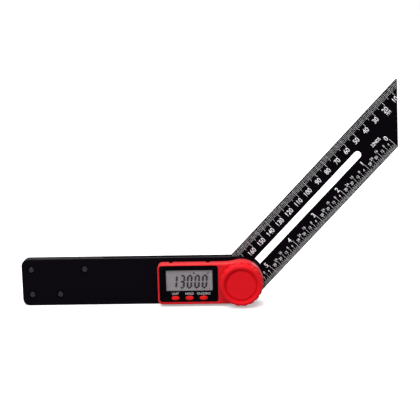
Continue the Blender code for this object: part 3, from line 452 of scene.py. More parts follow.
finishes["copper_track"] = sensor_finish()
print("sensor disc:", SENSOR_FIELDS, "fields")

# %% [markdown]
# ## The display's cover
#
# A clear acrylic cover sits in front of the display. Cycles finds lamps through glass only by
# luck, so the shader lets shadow rays straight through, and the display behind keeps its light.

# %% Clear cover
COVER_IOR = 1.2             # as if coated against reflections


def cover_finish():
    """Clear acrylic that doesn't darken what lies behind it."""
    made, tree, shader = start_material("clear_cover")
    surface = place_group(tree, grain, {"Grain Scale": 900, "Gloss": 0.05, "Gloss Range": 0.04})
    fill(tree, shader, {"Base Color": (0.98, 0.98, 0.98, 1), "Transmission Weight": 1.0,
                        "IOR": COVER_IOR, "Roughness": surface.outputs["Gloss"]})
    both = add_node(tree, "ShaderNodeMixShader", {
        "Fac": add_node(tree, "ShaderNodeLightPath").outputs["Is Shadow Ray"],
        1: shader.outputs["BSDF"], 2: add_node(tree, "ShaderNodeBsdfTransparent").outputs["BSDF"]})
    fill(tree, tree.nodes["Material Output"], {"Surface": both.outputs["Shader"]})
    return made


finishes["clear_lens"] = cover_finish()
print("finishes:", len(finishes))

# %% [markdown]
# ## Printed marks
#
# The scales are filled with white, the words on the panel are printed, and the digits are dark
# crystal. Ink is never quite solid, so a fine speckle dulls it here and there.

# %% The recipe for inks


def ink_finish(name, color, dull, gloss, level=0.5):
    """A printed or filled mark with a fine speckle in its tone."""
    made, tree, shader = start_material(name)
    surface = place_group(tree, grain, {"Grain Scale": 9000, "Patch Scale": 400, "Gloss": gloss,
                                        "Gloss Range": 0.1}).outputs
    fill(tree, shader, {"Base Color": blend(tree, surface["Patches"], color, dull),
                        "Roughness": surface["Gloss"], "Specular IOR Level": level})
    return made


white_fill = ink_finish("white_fill", (0.95, 0.95, 0.96), (0.86, 0.86, 0.88), 0.6)
white_print = ink_finish("white_print", (0.66, 0.66, 0.68), (0.52, 0.52, 0.55), 0.5)
dark_crystal = ink_finish("dark_crystal", (0.016, 0.011, 0.019), (0.024, 0.017, 0.027), 0.45, 0.08)
print("inks: white_fill, white_print, dark_crystal")

# %% [markdown]
# ## Give every solid of the frame its finish
#
# Each solid carries the name of its finish in its material slot, so one loop dresses them all.

# %% Dress the solids
for node in nodes.values():
    for slot in node.material_slots:
        slot.material = finishes[slot.material.name.split(".")[0]]
print("dressed", len(nodes), "solids")

# %% [markdown]
# ## Outlines
#
# Nearly every piece is a flat shape with a thickness. A shape is a list of (x, z) points around
# the pivot, built from arcs.

# %% Outline helpers
FINE_STEPS = 96
SHARP_DEGREES = 32


def arc(center, radius, start_deg, end_deg, steps):
    """Points of an arc, both ends included."""
    points = []
    for i in range(steps + 1):
        angle = math.radians(start_deg + (end_deg - start_deg) * i / steps)
        points.append((center[0] + radius * math.cos(angle),
                       center[1] + radius * math.sin(angle)))
    return points


def circle(center, radius, steps=FINE_STEPS):
    """Points of a full circle."""
    return arc(center, radius, 0, 360, steps)[:-1]


def ellipse(center, half_x, half_z, steps=FINE_STEPS):
    """Points of an ellipse."""
    return [(center[0] + half_x * x, center[1] + half_z * z)
            for x, z in circle((0, 0), 1, steps)]


def rounded_box(left, right, bottom, top, radius, steps=12):
    """Outline of a rectangle with round corners."""
    points = arc((right - radius, top - radius), radius, 0, 90, steps)
    points += arc((left + radius, top - radius), radius, 90, 180, steps)
    points += arc((left + radius, bottom + radius), radius, 180, 270, steps)
    return points + arc((right - radius, bottom + radius), radius, 270, 360, steps)


print("outline helpers ready")

# %% [markdown]
# ## Turning outlines into pieces
#
# A loft puts a skin over a stack of outlines, so an edge can be rounded. Straight shapes are
# punched out of a piece, or joined to it, with a Boolean modifier. A finished solid is shaded
# smooth except at sharp edges, with normals weighted by face size, so that large flat faces stay
# flat beside their rounded rims.

# %% Solid helpers


def mesh_object(name, builder):
    """An object from a finished bmesh, drawn around the pivot."""
    bmesh.ops.recalc_face_normals(builder, faces=builder.faces)
    mesh = bpy.data.meshes.new(name)
    builder.to_mesh(mesh)
    builder.free()
    mesh.transform(Matrix.Translation(PIVOT))
    piece = bpy.data.objects.new(name, mesh)
    bpy.context.scene.collection.objects.link(piece)
    return piece


def add_loft(builder, loops):
    """A closed skin over (y, outline) loops that all have as many points."""
    rings = [[builder.verts.new((x, y, z)) for x, z in outline] for y, outline in loops]
    for ring, following in zip(rings, rings[1:]):
        for i in range(len(ring)):
            j = (i + 1) % len(ring)
            builder.faces.new((ring[i], ring[j], following[j], following[i]))
    builder.faces.new(rings[0])
    builder.faces.new(rings[-1])


def loft(name, *stacks):
    """One object from one or more stacks of outlines."""
    builder = bmesh.new()
    for loops in stacks:
        add_loft(builder, loops)
    return mesh_object(name, builder)


def apply_modifiers(piece):
    """Replace the mesh by what its modifiers make of it."""
    graph = bpy.context.evaluated_depsgraph_get()
    made = bpy.data.meshes.new_from_object(piece.evaluated_get(graph), depsgraph=graph)
    piece.modifiers.clear()
    piece.data = made


def combine(piece, tool, operation="DIFFERENCE"):
    """Cut or join with a helper, which is used up."""
    boolean = piece.modifiers.new(tool.name, "BOOLEAN")
    boolean.object = tool
    boolean.operation = operation
    boolean.solver = "EXACT"
    apply_modifiers(piece)
    bpy.data.objects.remove(tool)


def punch(piece, name, outlines, front, back, operation="DIFFERENCE"):
    """Cut straight shapes from a piece, or join them to it, between two depths."""
    combine(piece, loft(name, *[[(front, outline), (back, outline)] for outline in outlines]),
            operation)


def settle(piece, body, slot, *replaced, ink=None):
    """Finish a solid smoothly, or a mark in its ink, and let it ride on its body."""
    if ink is None:
        piece.data.shade_smooth()
        piece.data.set_sharp_from_angle(angle=math.radians(SHARP_DEGREES))
        weighted = piece.modifiers.new("weighted", "WEIGHTED_NORMAL")
        weighted.keep_sharp = True
        apply_modifiers(piece)
    piece.data.materials.clear()
    piece.data.materials.append(ink or finishes[slot])
    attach(piece, body)
    if replaced:
        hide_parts(*replaced)
    print(piece.name, len(piece.data.polygons), "faces")


def quarter_turn(steps):
    """Sine and cosine of the angles from 0 to 90 degrees, at the start of each step."""
    angles = [math.pi / 2 * i / steps for i in range(steps)]
    return [(math.sin(angle), math.cos(angle)) for angle in angles]


def rounded_rim(start_y, end_y, radius, steps=6):
    """(y, inset) pairs from a straight wall at start_y round to a face at end_y."""
    sign = 1 if end_y > start_y else -1
    pairs = [(end_y - sign * radius * (1 - sin), radius * (1 - cos))
             for sin, cos in quarter_turn(steps)]
    return [(start_y, 0.0)] + pairs + [(end_y, radius)]


def middle(node):
    """The (x, z) middle of a node's box, from the pivot."""
    return tuple((side(node, 0, axis) + side(node, 1, axis)) / 2 for axis in "xz")


def discs(marked, radius, steps=48):
    """A circle around the middle of each of several nodes."""
    return [circle(middle(node), radius, steps) for node in marked]


print("solid helpers ready")

# %% [markdown]
# ## Handle plates
#
# The handle is two long plates, each with a softly rounded rim on its outer face. Around the
# pivot the front plate is drawn in a little and carries fine upright ridges, a dark serrated arc
# between the red boss and the rule. The outline takes an inset, so it serves for every step of
# the rim.

# %% Handle plates with wells for the screws
HANDLE_CORNER = 5 * MM
PLATE_RIM = 0.5 * MM
RIDGE_DEPTH = 0.22 * MM
END_TRIM = 0.8 * MM
RIDGES = 72
RIDGE_POINTS = 6
SCREW_WELL_RADIUS = 2.8 * MM
SCREW_SINK = 0.4 * MM
SCREW_HEAD_HEIGHT = 1.1 * MM
JOURNAL_BORE = circle((0, 0), 5 * MM)
SCREW_BORE = 1.5 * MM
OVER = 1 * MM               # how far a cutter runs past the face that it opens
handle_screws = [f"handle_screw_{number}" for number in (1, 2, 3, 4)]


def handle_outline(inset, ridge):
    """Plate outline: ridged round end at the pivot, square end with round corners."""
    half = HALF_HANDLE - inset
    corner = HANDLE_CORNER - inset
    left = HANDLE_LEFT + inset
    steps = RIDGES * RIDGE_POINTS
    points = []
    for i in range(steps + 1):
        angle = math.pi * i / steps - math.pi / 2
        reach = half - ridge * (1 - math.cos(math.tau * i / RIDGE_POINTS)) / 2
        reach -= END_TRIM * min(1, 2 * math.cos(angle)) if ridge else 0
        points.append((reach * math.cos(angle), reach * math.sin(angle)))
    points += arc((left + corner, half - corner), corner, 90, 180, 10)
    return points + arc((left + corner, corner - half), corner, 180, 270, 10)


def handle_plate(name, inner, outer, ridge):
    """One plate, its rim rounded at the outer face only."""
    return loft(name, [(y, handle_outline(inset, ridge))
                       for y, inset in rounded_rim(inner, outer, PLATE_RIM)])


front_plate = handle_plate("front_plate", PLATE_INNER, PLATE_FRONT, RIDGE_DEPTH)
punch(front_plate, "wells", discs(handle_screws, SCREW_WELL_RADIUS), PLATE_FRONT - OVER,
      PLATE_FRONT + SCREW_SINK + SCREW_HEAD_HEIGHT + FIT_GAP)
punch(front_plate, "screw_holes", discs(handle_screws, SCREW_BORE, 32), PLATE_FRONT - OVER,
      PLATE_INNER + OVER)
punch(front_plate, "bore", [JOURNAL_BORE], PLATE_FRONT - OVER, PLATE_INNER + OVER)
settle(front_plate, "handle", "handle_black", "handle_front_plate")

# %% Rear plate with the seat of the pivot bolt
BOLT_SEAT = circle((0, 0), side("pivot_bolt", 1, "x") + FIT_GAP)
BOLT_SEAT_DEPTH = 1.8 * MM
rear_plate = handle_plate("rear_plate", -PLATE_INNER, -PLATE_FRONT, 0)
punch(rear_plate, "rear_bore", [JOURNAL_BORE], -PLATE_INNER - OVER, -PLATE_FRONT + OVER)
punch(rear_plate, "bolt_seat", [BOLT_SEAT], -PLATE_FRONT - BOLT_SEAT_DEPTH, -PLATE_FRONT + OVER)
settle(rear_plate, "handle", "handle_black", "handle_rear_plate")

# %% [markdown]
# ## Handle screws
#
# Four small cross-head screws sit a little below the plate's face. A low dome is a stack of
# shrinking circles, and the cross is punched into it.

# %% Domed screws with a cross recess
SCREW_HEAD_RADIUS = 2.1 * MM
SCREW_SHANK_RADIUS = 1.2 * MM
CROSS_LENGTH = 2.6 * MM
CROSS_WIDTH = 0.55 * MM
CROSS_DEPTH = 0.6 * MM
DOME_RISE_SHARE = 0.45


def cross_outline(center):
    """A plus sign around a point."""
    arm, half = CROSS_LENGTH / 2, CROSS_WIDTH / 2
    points = []
    for quarter in range(4):
        cos, sin = math.cos(quarter * math.pi / 2), math.sin(quarter * math.pi / 2)
        for x, z in [(arm, -half), (arm, half), (half, half)]:
            points.append((center[0] + x * cos - z * sin, center[1] + x * sin + z * cos))
    return points


def domed_screw(name, node):
    """A screw with a domed head, in the place of its plain solid."""
    center = middle(node)
    front, back = side(node, 0, "y"), side(node, 1, "y")
    under = front + SCREW_HEAD_HEIGHT
    rise = SCREW_HEAD_HEIGHT * DOME_RISE_SHARE
    rings = [(back, SCREW_SHANK_RADIUS), (under, SCREW_SHANK_RADIUS), (under, SCREW_HEAD_RADIUS)]
    rings += [(front + rise * (1 - sin), SCREW_HEAD_RADIUS * cos) for sin, cos in quarter_turn(9)]
    screw = loft(name, [(y, circle(center, radius, 48)) for y, radius in rings])
    punch(screw, "cross", [cross_outline(center)], front - OVER, front + CROSS_DEPTH)
    settle(screw, "handle", "dark_steel", node)


for number, node in enumerate(handle_screws, 1):
    domed_screw(f"cross_screw_{number}", node)

# %% [markdown]
# ## The rule
#
# The rule is a strip of steel with a long slot, a 45 degree tip and a round tail. Its edges are
# broken just enough to catch a thin line of light. It is drawn lying along x and then turned up
# to the rule's angle.

# %% Rule with its slot
RULE_LENGTH = 200 * MM
HALF_WIDTH = HALF_HANDLE
RULE_REACH = 183.7 * MM
TIP_BLUNT = 0.8 * MM
SLOT_HALF = 2.8 * MM
SLOT_FROM_TIP = 56.3 * MM
SLOT_WEB = 10 * MM
RULE_RIM = 0.12 * MM


def on_rule(points):
    """Points of the drawing board turned to the rule's angle about the pivot."""
    cos, sin = math.cos(RULE_ANGLE), math.sin(RULE_ANGLE)
    return [(x * cos - z * sin, x * sin + z * cos) for x, z in points]


def rule_outline(inset):
    """Round tail, straight edges and a 45 degree tip with a blunt point."""
    half = HALF_WIDTH - inset
    tail = RULE_REACH - RULE_LENGTH + HALF_WIDTH
    reach = RULE_REACH - inset
    slant = inset * math.tan(math.radians(22.5))
    points = arc((tail, 0), half, 90, 270, 64)
    points.append((RULE_REACH - 2 * HALF_WIDTH - slant, -half))
    points.append((reach - TIP_BLUNT, half - TIP_BLUNT - slant))
    points.append((reach - TIP_BLUNT, half))
    return on_rule(points)


def slot_outline(grow):
    """The long slot, grown on every side."""
    half = SLOT_HALF + grow
    near = RULE_REACH - RULE_LENGTH + SLOT_WEB + SLOT_HALF
    far = RULE_REACH - SLOT_FROM_TIP - SLOT_HALF
    return on_rule(arc((far, 0), half, -90, 90, 32) + arc((near, 0), half, 90, 270, 32))


def broken_edges(name, outline, reach, slope):
    """A straight shape through the rule, whose outline changes by a slope near both faces."""
    inner = HALF_RULE - RULE_RIM
    return loft(name, [(-reach, outline(slope)), (-inner, outline(0)), (inner, outline(0)),
                       (reach, outline(slope))])


rule = broken_edges("rule", rule_outline, HALF_RULE, RULE_RIM)
combine(rule, broken_edges("slot_cutter", slot_outline, HALF_RULE + RULE_RIM, 2 * RULE_RIM))
settle(rule, "blade", "blade_black", "blade")

# %% [markdown]
# ## Scales on the rule
#
# The upper edge carries millimetres, counted from the tip's long point, and the lower edge
# inches in 32nds. A tick is a thin bar that stands a hair above the face. Its length and width
# follow from what the tick's number divides by.

# %% Ticks as thin bars
MARK_PROUD = 0.02 * MM
MARK_SUNK = 0.01 * MM
SCALE_END = 190 * MM
INCH = 25.4 * MM
INCH_ZERO = 35.39 * MM
TIP_CLEAR = 0.5 * MM         # left between a tick's foot and the slanted tip
COUNT_SLACK = 0.01
SCALE_INSET = 0.45 * MM
MM_RANKS = [(10, 7.6 * MM, 0.20 * MM), (5, 6.2 * MM, 0.17 * MM), (1, 4.7 * MM, 0.125 * MM)]
INCH_RANKS = [(32, 8.8 * MM, 0.20 * MM), (16, 7.8 * MM, 0.17 * MM), (8, 6.6 * MM, 0.16 * MM),
              (4, 4.8 * MM, 0.14 * MM), (2, 4.0 * MM, 0.13 * MM), (1, 3.0 * MM, 0.12 * MM)]


def add_tick(builder, x, width, foot, head):
    """A thin bar on the drawing board, turned to the rule's angle."""
    left, right = x - width / 2, x + width / 2
    corners = on_rule([(left, foot), (right, foot), (right, head), (left, head)])
    add_loft(builder, [(-HALF_RULE - MARK_PROUD, corners), (-HALF_RULE + MARK_SUNK, corners)])


def add_scale(name, zero, pitch, ranks, edge):
    """Ticks along the upper edge, 1, or the lower one, -1; the first step that divides a
    tick's number gives its length and width."""
    builder = bmesh.new()
    for number in range(int((SCALE_END - zero) / pitch + COUNT_SLACK) + 1):
        from_tip = zero + number * pitch
        length, width = next(rank[1:] for rank in ranks if number % rank[0] == 0)
        length = min(length, from_tip - TIP_CLEAR)
        if length > 0:
            add_tick(builder, RULE_REACH - from_tip, width, edge * (HALF_WIDTH - length),
                     edge * (HALF_WIDTH - SCALE_INSET))
    settle(mesh_object(name, builder), "blade", "blade_black", ink=white_fill)


add_scale("millimetre_ticks", 0, MM, MM_RANKS, 1)
add_scale("inch_ticks", INCH_ZERO, INCH / 32, INCH_RANKS, -1)

# %% [markdown]
# ## Figures
#
# Figures come from Blender's own plain letter shapes. A text object with a slight outward offset
# to make it bold becomes a mesh, is scaled by the height of a capital letter and is laid on its
# surface.

# %% Letter helpers


def letter_mesh(words, bold):
    """The outline of words as a flat filled mesh."""
    text = bpy.data.curves.new("words", "FONT")
    text.body = words
    text.offset = bold
    text.resolution_u = 6
    holder = bpy.data.objects.new("words", text)
    bpy.context.scene.collection.objects.link(holder)
    graph = bpy.context.evaluated_depsgraph_get()
    mesh = bpy.data.meshes.new_from_object(holder.evaluated_get(graph), depsgraph=graph)
    bpy.data.objects.remove(holder)
    return mesh


def reach_of(mesh, axis):
    """Lowest and highest place of a mesh along an axis."""
    places = [vert.co[axis] for vert in mesh.vertices]
    return min(places), max(places)


def add_words(builder, words, place, style, align, turn, face):
    """Words on a face: place is their (x, z) foot, align 0 left, 0.5 middle, 1 right."""
    height, narrow, bold = style
    low, high = reach_of(letter_mesh("H", bold), 1)
    mesh = letter_mesh(words, bold)
    left, right = reach_of(mesh, 0)
    start = left + (right - left) * align
    scale = height / (high - low)
    cos, sin = math.cos(turn), math.sin(turn)
    flat = bmesh.new()
    flat.from_mesh(mesh)
    bmesh.ops.remove_doubles(flat, verts=flat.verts, dist=0.0001)
    for vert in flat.verts:
        x = place[0] + (vert.co.x - start) * scale * narrow
        z = place[1] + (vert.co.y - low) * scale
        vert.co = (x * cos - z * sin, face - MARK_PROUD, x * sin + z * cos)
    grown = bmesh.ops.extrude_face_region(flat, geom=flat.faces[:], use_keep_orig=True)
    moved = [vert for vert in grown["geom"] if isinstance(vert, bmesh.types.BMVert)]
    bmesh.ops.translate(flat, verts=moved, vec=(0, MARK_PROUD + MARK_SUNK, 0))
    bmesh.ops.recalc_face_normals(flat, faces=flat.faces)
    flat.to_mesh(mesh)
    flat.free()
    builder.from_mesh(mesh)
    bpy.data.meshes.remove(mesh)


def rule_words(builder, words, from_tip, foot, style, align=1):
    """Words on the rule's face, placed by their distance from the tip and from its middle."""
    add_words(builder, words, (RULE_REACH - from_tip, foot), style, align, RULE_ANGLE, -HALF_RULE)


print("letter helpers ready")

# %% Figures of both scales, in styles of height, narrowing and boldness
MM_FIGURES = (3.75 * MM, 0.83, 0.012)
MM_FIGURE_FOOT = 11.55 * MM
MM_WORD = (2.3 * MM, 0.8, 0.01)
MM_WORD_PLACE = (20 * MM, HALF_WIDTH - 14.3 * MM)
INCH_FIGURES = (3.75 * MM, 0.88, 0.020)
INCH_FIGURE_FOOT = 8.8 * MM
INCH_FIGURE_SHIFT = 0.2 * MM
SMALL_FIGURES = (2.0 * MM, 0.86, 0.004)
SMALL_FIGURE_FEET = {4: 5.2 * MM, 8: 7.0 * MM, 12: 5.2 * MM, 16: 8.3 * MM, 20: 5.2 * MM,
                     24: 7.0 * MM, 28: 5.2 * MM}
INCH_WORD = (2.5 * MM, 0.8, 0.020)
INCH_WORD_PLACE = (39.4 * MM, HALF_WIDTH - 22.1 * MM)

builder = bmesh.new()
for number in range(10, 190, 10):
    rule_words(builder, str(number), number * MM, HALF_WIDTH - MM_FIGURE_FOOT, MM_FIGURES)
rule_words(builder, "MM", *MM_WORD_PLACE, MM_WORD)
settle(mesh_object("millimetre_figures", builder), "blade", "blade_black", ink=white_fill)

builder = bmesh.new()
for inch in range(0, 7):
    from_tip = INCH_ZERO + inch * INCH
    rule_words(builder, str(inch), from_tip + INCH_FIGURE_SHIFT, -HALF_WIDTH + INCH_FIGURE_FOOT,
               INCH_FIGURES)
    for part, foot in SMALL_FIGURE_FEET.items():
        small = from_tip + part * INCH / 32
        if small < SCALE_END:
            rule_words(builder, str(part), small, -HALF_WIDTH + foot, SMALL_FIGURES, 0.5)
rule_words(builder, "32NDS", *INCH_WORD_PLACE, INCH_WORD)
settle(mesh_object("inch_figures", builder), "blade", "blade_black", ink=white_fill)

# %% [markdown]
# ## The red head
#
# The head is one moulding: a rounded box that flows through a long hollow curve into a round
# boss at the pivot, open at the back. The outline takes an inset, which rounds the front rim and
# gives the inner wall. Recess, window, button holes, pivot bore and the slot for the battery
# tray are punched out.

# %% Head outline and shell
HEAD_CORNER = 3.4 * MM
HEAD_RIM = 1.0 * MM
HEAD_WALL = 1.6 * MM
FRONT_WALL = 1.2 * MM
BOSS_FILLET = 40 * MM
HALF_HEAD = side("battery_tray", 1, "z")
HEAD_DROP = 1.1 * MM        # the lower long side is that much further from the pivot
PANEL_BACK = side("display_panel", 1, "y")
PANEL_CORNER = 1.8 * MM
WINDOW_CORNER = 0.4 * MM
WALL_BACK = PANEL_BACK + FIT_GAP + FRONT_WALL


def boss_fillet(half, boss, fillet):
    """Where the hollow curve of a long side has its centre, and where it meets the boss."""
    x = -math.sqrt((boss + fillet) ** 2 - (half + fillet) ** 2)
    return x, math.degrees(math.atan2(half + fillet, x))


def head_outline(inset):
    """Rounded box that flows into the round boss about the pivot."""
    upper, lower = HALF_HEAD - inset, HALF_HEAD + HEAD_DROP - inset
    boss, fillet = BOSS_RADIUS - inset, BOSS_FILLET + inset
    corner = max(HEAD_CORNER - inset, HEAD_CORNER / 4)
    left = HEAD_LEFT + inset + corner
    upper_x, upper_meet = boss_fillet(upper, boss, fillet)
    lower_x, lower_meet = boss_fillet(lower, boss, fillet)
    points = arc((0, 0), boss, -lower_meet, upper_meet, FINE_STEPS)
    points += arc((upper_x, upper + fillet), fillet, upper_meet - 180, -90, 16)[1:]
    points += arc((left, upper - corner), corner, 90, 180, 16)
    points += arc((left, corner - lower), corner, 180, 270, 16)
    return points + arc((lower_x, -lower - fillet), fillet, 90, 180 - lower_meet, 16)[:-1]


def grown_box(node, grow, radius, steps=12):
    """A node's front outline as a rounded box, grown on every side."""
    left, right, bottom, top = [side(node, corner, axis) for axis in "xz" for corner in (0, 1)]
    return rounded_box(left - grow, right + grow, bottom - grow, top + grow, radius + grow, steps)


head = loft("head_shell", [(y, head_outline(inset)) for y, inset in
                           rounded_rim(HEAD_BACK, HEAD_FRONT, HEAD_RIM, 10)])
punch(head, "cavity", [head_outline(HEAD_WALL)], WALL_BACK, HEAD_BACK + OVER)

# %% Columns inside the head
COLUMN_RADIUS = 1.9 * MM
COLUMN_BORE = 1.1 * MM
POST_RADIUS = 1.5 * MM
POST_BORE = 0.9 * MM
BOARD_FRONT = side("circuit_board", 0, "y")
ROOT = WALL_BACK - FRONT_WALL / 2
head_screws = [f"head_screw_{number}" for number in (1, 2, 3, 4)]
board_screws = [f"board_screw_{number}" for number in (1, 2, 3)]
punch(head, "columns", discs(head_screws, COLUMN_RADIUS), ROOT, HEAD_BACK, "UNION")
punch(head, "posts", discs(board_screws, POST_RADIUS), ROOT, BOARD_FRONT - FIT_GAP, "UNION")
punch(head, "column_holes", discs(head_screws, COLUMN_BORE),
      side(head_screws[0], 0, "y") - FIT_GAP, HEAD_BACK + OVER)
punch(head, "post_holes", discs(board_screws, POST_BORE),
      side(board_screws[0], 0, "y") - FIT_GAP, BOARD_FRONT)

# %% Openings of the head
BUTTONS = ["button_unit", "button_hold", "button_zero"]
BUTTON_FLANGE = 0.5 * MM
BUTTON_HALF_X = side("button_hold", 1, "x") - middle("button_hold")[0] - BUTTON_FLANGE
BUTTON_HALF_Z = side("button_hold", 1, "z") - middle("button_hold")[1] - BUTTON_FLANGE


def oval(node, grow):
    """The oval of a button, grown on every side."""
    return ellipse(middle(node), BUTTON_HALF_X + grow, BUTTON_HALF_Z + grow)


BUTTON_HOLES = [oval(node, FIT_GAP) for node in BUTTONS]
punch(head, "panel_recess", [grown_box("display_panel", FIT_GAP, PANEL_CORNER)],
      HEAD_FRONT - OVER, PANEL_BACK + FIT_GAP)
punch(head, "display_opening", [grown_box("lcd_glass", FIT_GAP, WINDOW_CORNER)],
      HEAD_FRONT - OVER, WALL_BACK + OVER)
punch(head, "button_openings", BUTTON_HOLES, HEAD_FRONT - OVER, WALL_BACK + OVER)
punch(head, "pivot_opening", [JOURNAL_BORE], HEAD_FRONT - OVER, WALL_BACK + OVER)
tray_slot = rounded_box(side("battery_tray", 0, "x") - FIT_GAP,
                        side("battery_tray", 1, "x") + FIT_GAP, HALF_HEAD - HEAD_WALL - OVER,
                        HALF_HEAD + OVER, FIT_GAP, 4)
punch(head, "tray_slot", [tray_slot], side("battery_tray", 0, "y") - FIT_GAP, HEAD_BACK + OVER)
settle(head, "handle", "head_red", "head_housing")

# %% [markdown]
# ## Panel
#
# The black panel fills the recess. It has a window for the display and three oval holes, and its
# front edge is broken as a punched sheet's edge is.

# %% Panel with its window and button holes
PANEL_RIM = 0.12 * MM

panel = loft("front_panel", [
    (y, grown_box("display_panel", -inset, PANEL_CORNER)) for y, inset in
    [(PANEL_BACK, 0), (HEAD_FRONT + PANEL_RIM, 0), (HEAD_FRONT, PANEL_RIM)]])
punch(panel, "window_cutter", [grown_box("display_lens", FIT_GAP, 0)], HEAD_FRONT - OVER,
      PANEL_BACK + OVER)
punch(panel, "oval_cutters", BUTTON_HOLES, HEAD_FRONT - OVER, PANEL_BACK + OVER)
settle(panel, "handle", "panel_black", "display_panel")

# %% [markdown]
# ## Digits of the display
#
# A liquid crystal display draws a digit from seven bars with bevelled ends, leaning a little to
# the right. The reading is a plain row of figures with a dot for degrees and a stroke for
# minutes.

# %% Seven bars to a digit, places in millimetres from the pivot
DIGIT_HEIGHT = 10.5 * MM
DIGIT_WIDTH = 4.2 * MM
BAR = 1.5 * MM
BAR_GAP = 0.06 * MM
LEAN = math.tan(math.radians(5))
DIGITS = [("1", -48.5), ("3", -42.95), ("0", -37.6), ("0", -32.1), ("0", -26.65)]
DIGIT_MIDDLE_Z = 1.5 * MM
DOT_PLACE = (-34.4 * MM, 7.9 * MM)
DOT_RADIUS = 0.65 * MM
MINUTE_STROKE = [(x * MM, z * MM) for x, z in [(-24.9, 7.1), (-24.3, 7.1), (-23.4, 8.5),
                                               (-24.0, 8.5)]]
LIT = {"0": "abcdef", "1": "bc", "3": "abcdg"}
GLASS_FRONT = side("lcd_glass", 0, "y")
CRYSTAL_FRONT = GLASS_FRONT - 0.04 * MM


def add_crystal(builder, points):
    """A flat dark shape on the display's glass."""
    add_loft(builder, [(CRYSTAL_FRONT, points), (GLASS_FRONT + MARK_SUNK, points)])


def add_seven_bar(builder, center, from_point, to_point):
    """One bar of a digit, with pointed ends, between two corners of the digit."""
    start, end = Vector(from_point), Vector(to_point)
    along = (end - start).normalized()
    across = Vector((-along.y, along.x)) * BAR / 2
    start, end = start + along * BAR_GAP, end - along * BAR_GAP
    inner_start, inner_end = start + along * BAR / 2, end - along * BAR / 2
    corners = [start, inner_start + across, inner_end + across, end, inner_end - across,
               inner_start - across]
    add_crystal(builder, [(center[0] + p.x + p.y * LEAN, center[1] + p.y) for p in corners])


def add_digit(builder, figure, center):
    """A leaning digit of up to seven bars around its middle."""
    half_x, half_z = (DIGIT_WIDTH - BAR) / 2, (DIGIT_HEIGHT - BAR) / 2
    ring = [(x * half_x, z * half_z) for x, z in
            [(-1, 1), (1, 1), (1, 0), (1, -1), (-1, -1), (-1, 0)]]
    bars = dict(zip("abcdef", zip(ring, ring[1:] + ring[:1])), g=(ring[5], ring[2]))
    for letter in LIT[figure]:
        add_seven_bar(builder, center, *bars[letter])


builder = bmesh.new()
for figure, x in DIGITS:
    add_digit(builder, figure, (x * MM, DIGIT_MIDDLE_Z))
add_crystal(builder, circle(DOT_PLACE, DOT_RADIUS, 32))
add_crystal(builder, MINUTE_STROKE)
settle(mesh_object("display_digits", builder), "handle", "lcd_grey", ink=dark_crystal)

# %% [markdown]
# ## Words over the buttons
#
# Each button has a short plain word above it on the panel, printed in white.

# %% Button words
WORD_FOOT = -8.1 * MM
WORD_STYLE = (1.65 * MM, 0.92, 0)
WORDS = {"button_unit": "UNIT", "button_hold": "HOLD", "button_zero": "ON/ZERO"}

builder = bmesh.new()
for node, word in WORDS.items():
    add_words(builder, word, (middle(node)[0], WORD_FOOT), WORD_STYLE, 0.5, 0, HEAD_FRONT)
settle(mesh_object("button_words", builder), "handle", "panel_black", ink=white_print)

# %% [markdown]
# ## Buttons
#
# The buttons are small ovals with a crowned face and a flange behind the panel that keeps them
# in. Each is a stack of ovals, which shrink towards the crown along a rounded curve.

# %% Oval buttons with a crown
BUTTON_FLANGE_THICKNESS = 0.6 * MM
CROWN_RISE = 0.45 * MM
CROWN_STEPS = 12
CROWN_POWER = 0.7


def button_piece(name, node):
    """A crowned oval button in the place of its plain solid."""
    front, back = side(node, 0, "y"), side(node, 1, "y")
    flange = back - BUTTON_FLANGE_THICKNESS
    loops = [(back, oval(node, BUTTON_FLANGE)), (flange, oval(node, BUTTON_FLANGE)),
             (flange, oval(node, 0))]
    for sin, cos in quarter_turn(CROWN_STEPS):
        share = cos ** CROWN_POWER
        loops.append((front + CROWN_RISE * (1 - sin),
                      ellipse(middle(node), BUTTON_HALF_X * share, BUTTON_HALF_Z * share)))
    settle(loft(name, loops), node, "button_red", node)


for node in BUTTONS:
    button_piece(node.replace("button", "key"), node)

# %% [markdown]
# ## The clamping knob
#
# Eighteen broad lobes with narrow notches between them give the grip, in front of them stands a
# smooth bulging rim, and the flat middle is sunk with a groove around it. Each corner of the
# profile has its own rounding and a share that says how deep the notches are there. The back is
# hollow, with a hub for the brass nut.

# %% Profile with rounded corners
KNOB_LOBES = 18
LOBE_POINTS = 24
FIRST_NOTCH = math.radians(-11)
NOTCH_DEPTH = 0.7 * MM
NOTCH_SHARPNESS = 4
KNOB_HEIGHT = (KNOB_BACK - KNOB_FRONT) / MM
DISC_INSET = 5.2
DISC_SINK = 1.5
GROOVE_SINK = 2.0
KNOB_CORNERS = [            # mm in from the rim, mm behind the front, notch share, mm of rounding
    (0.6, KNOB_HEIGHT, 1, 0), (0, KNOB_HEIGHT - 0.6, 1, 0.4), (0, 2.6, 1, 0.35),
    (0.6, 2.1, 0.3, 0.2), (0.75, 1.6, 0, 0.3), (0.9, 0.8, 0, 0.4), (1.4, 0.2, 0, 0.4),
    (2.1, 0, 0, 0.4), (2.9, 0.2, 0, 0.4), (3.4, 0.6, 0, 0.25),
    (DISC_INSET - 1.4, GROOVE_SINK - 0.4, 0, 0.3), (DISC_INSET - 0.9, GROOVE_SINK, 0, 0.3),
    (DISC_INSET - 0.1, GROOVE_SINK, 0, 0.1), (DISC_INSET, DISC_SINK + 0.1, 0, 0.05),
    (DISC_INSET + 0.12, DISC_SINK, 0, 0.08), (DISC_INSET + 1, DISC_SINK, 0, 0)]


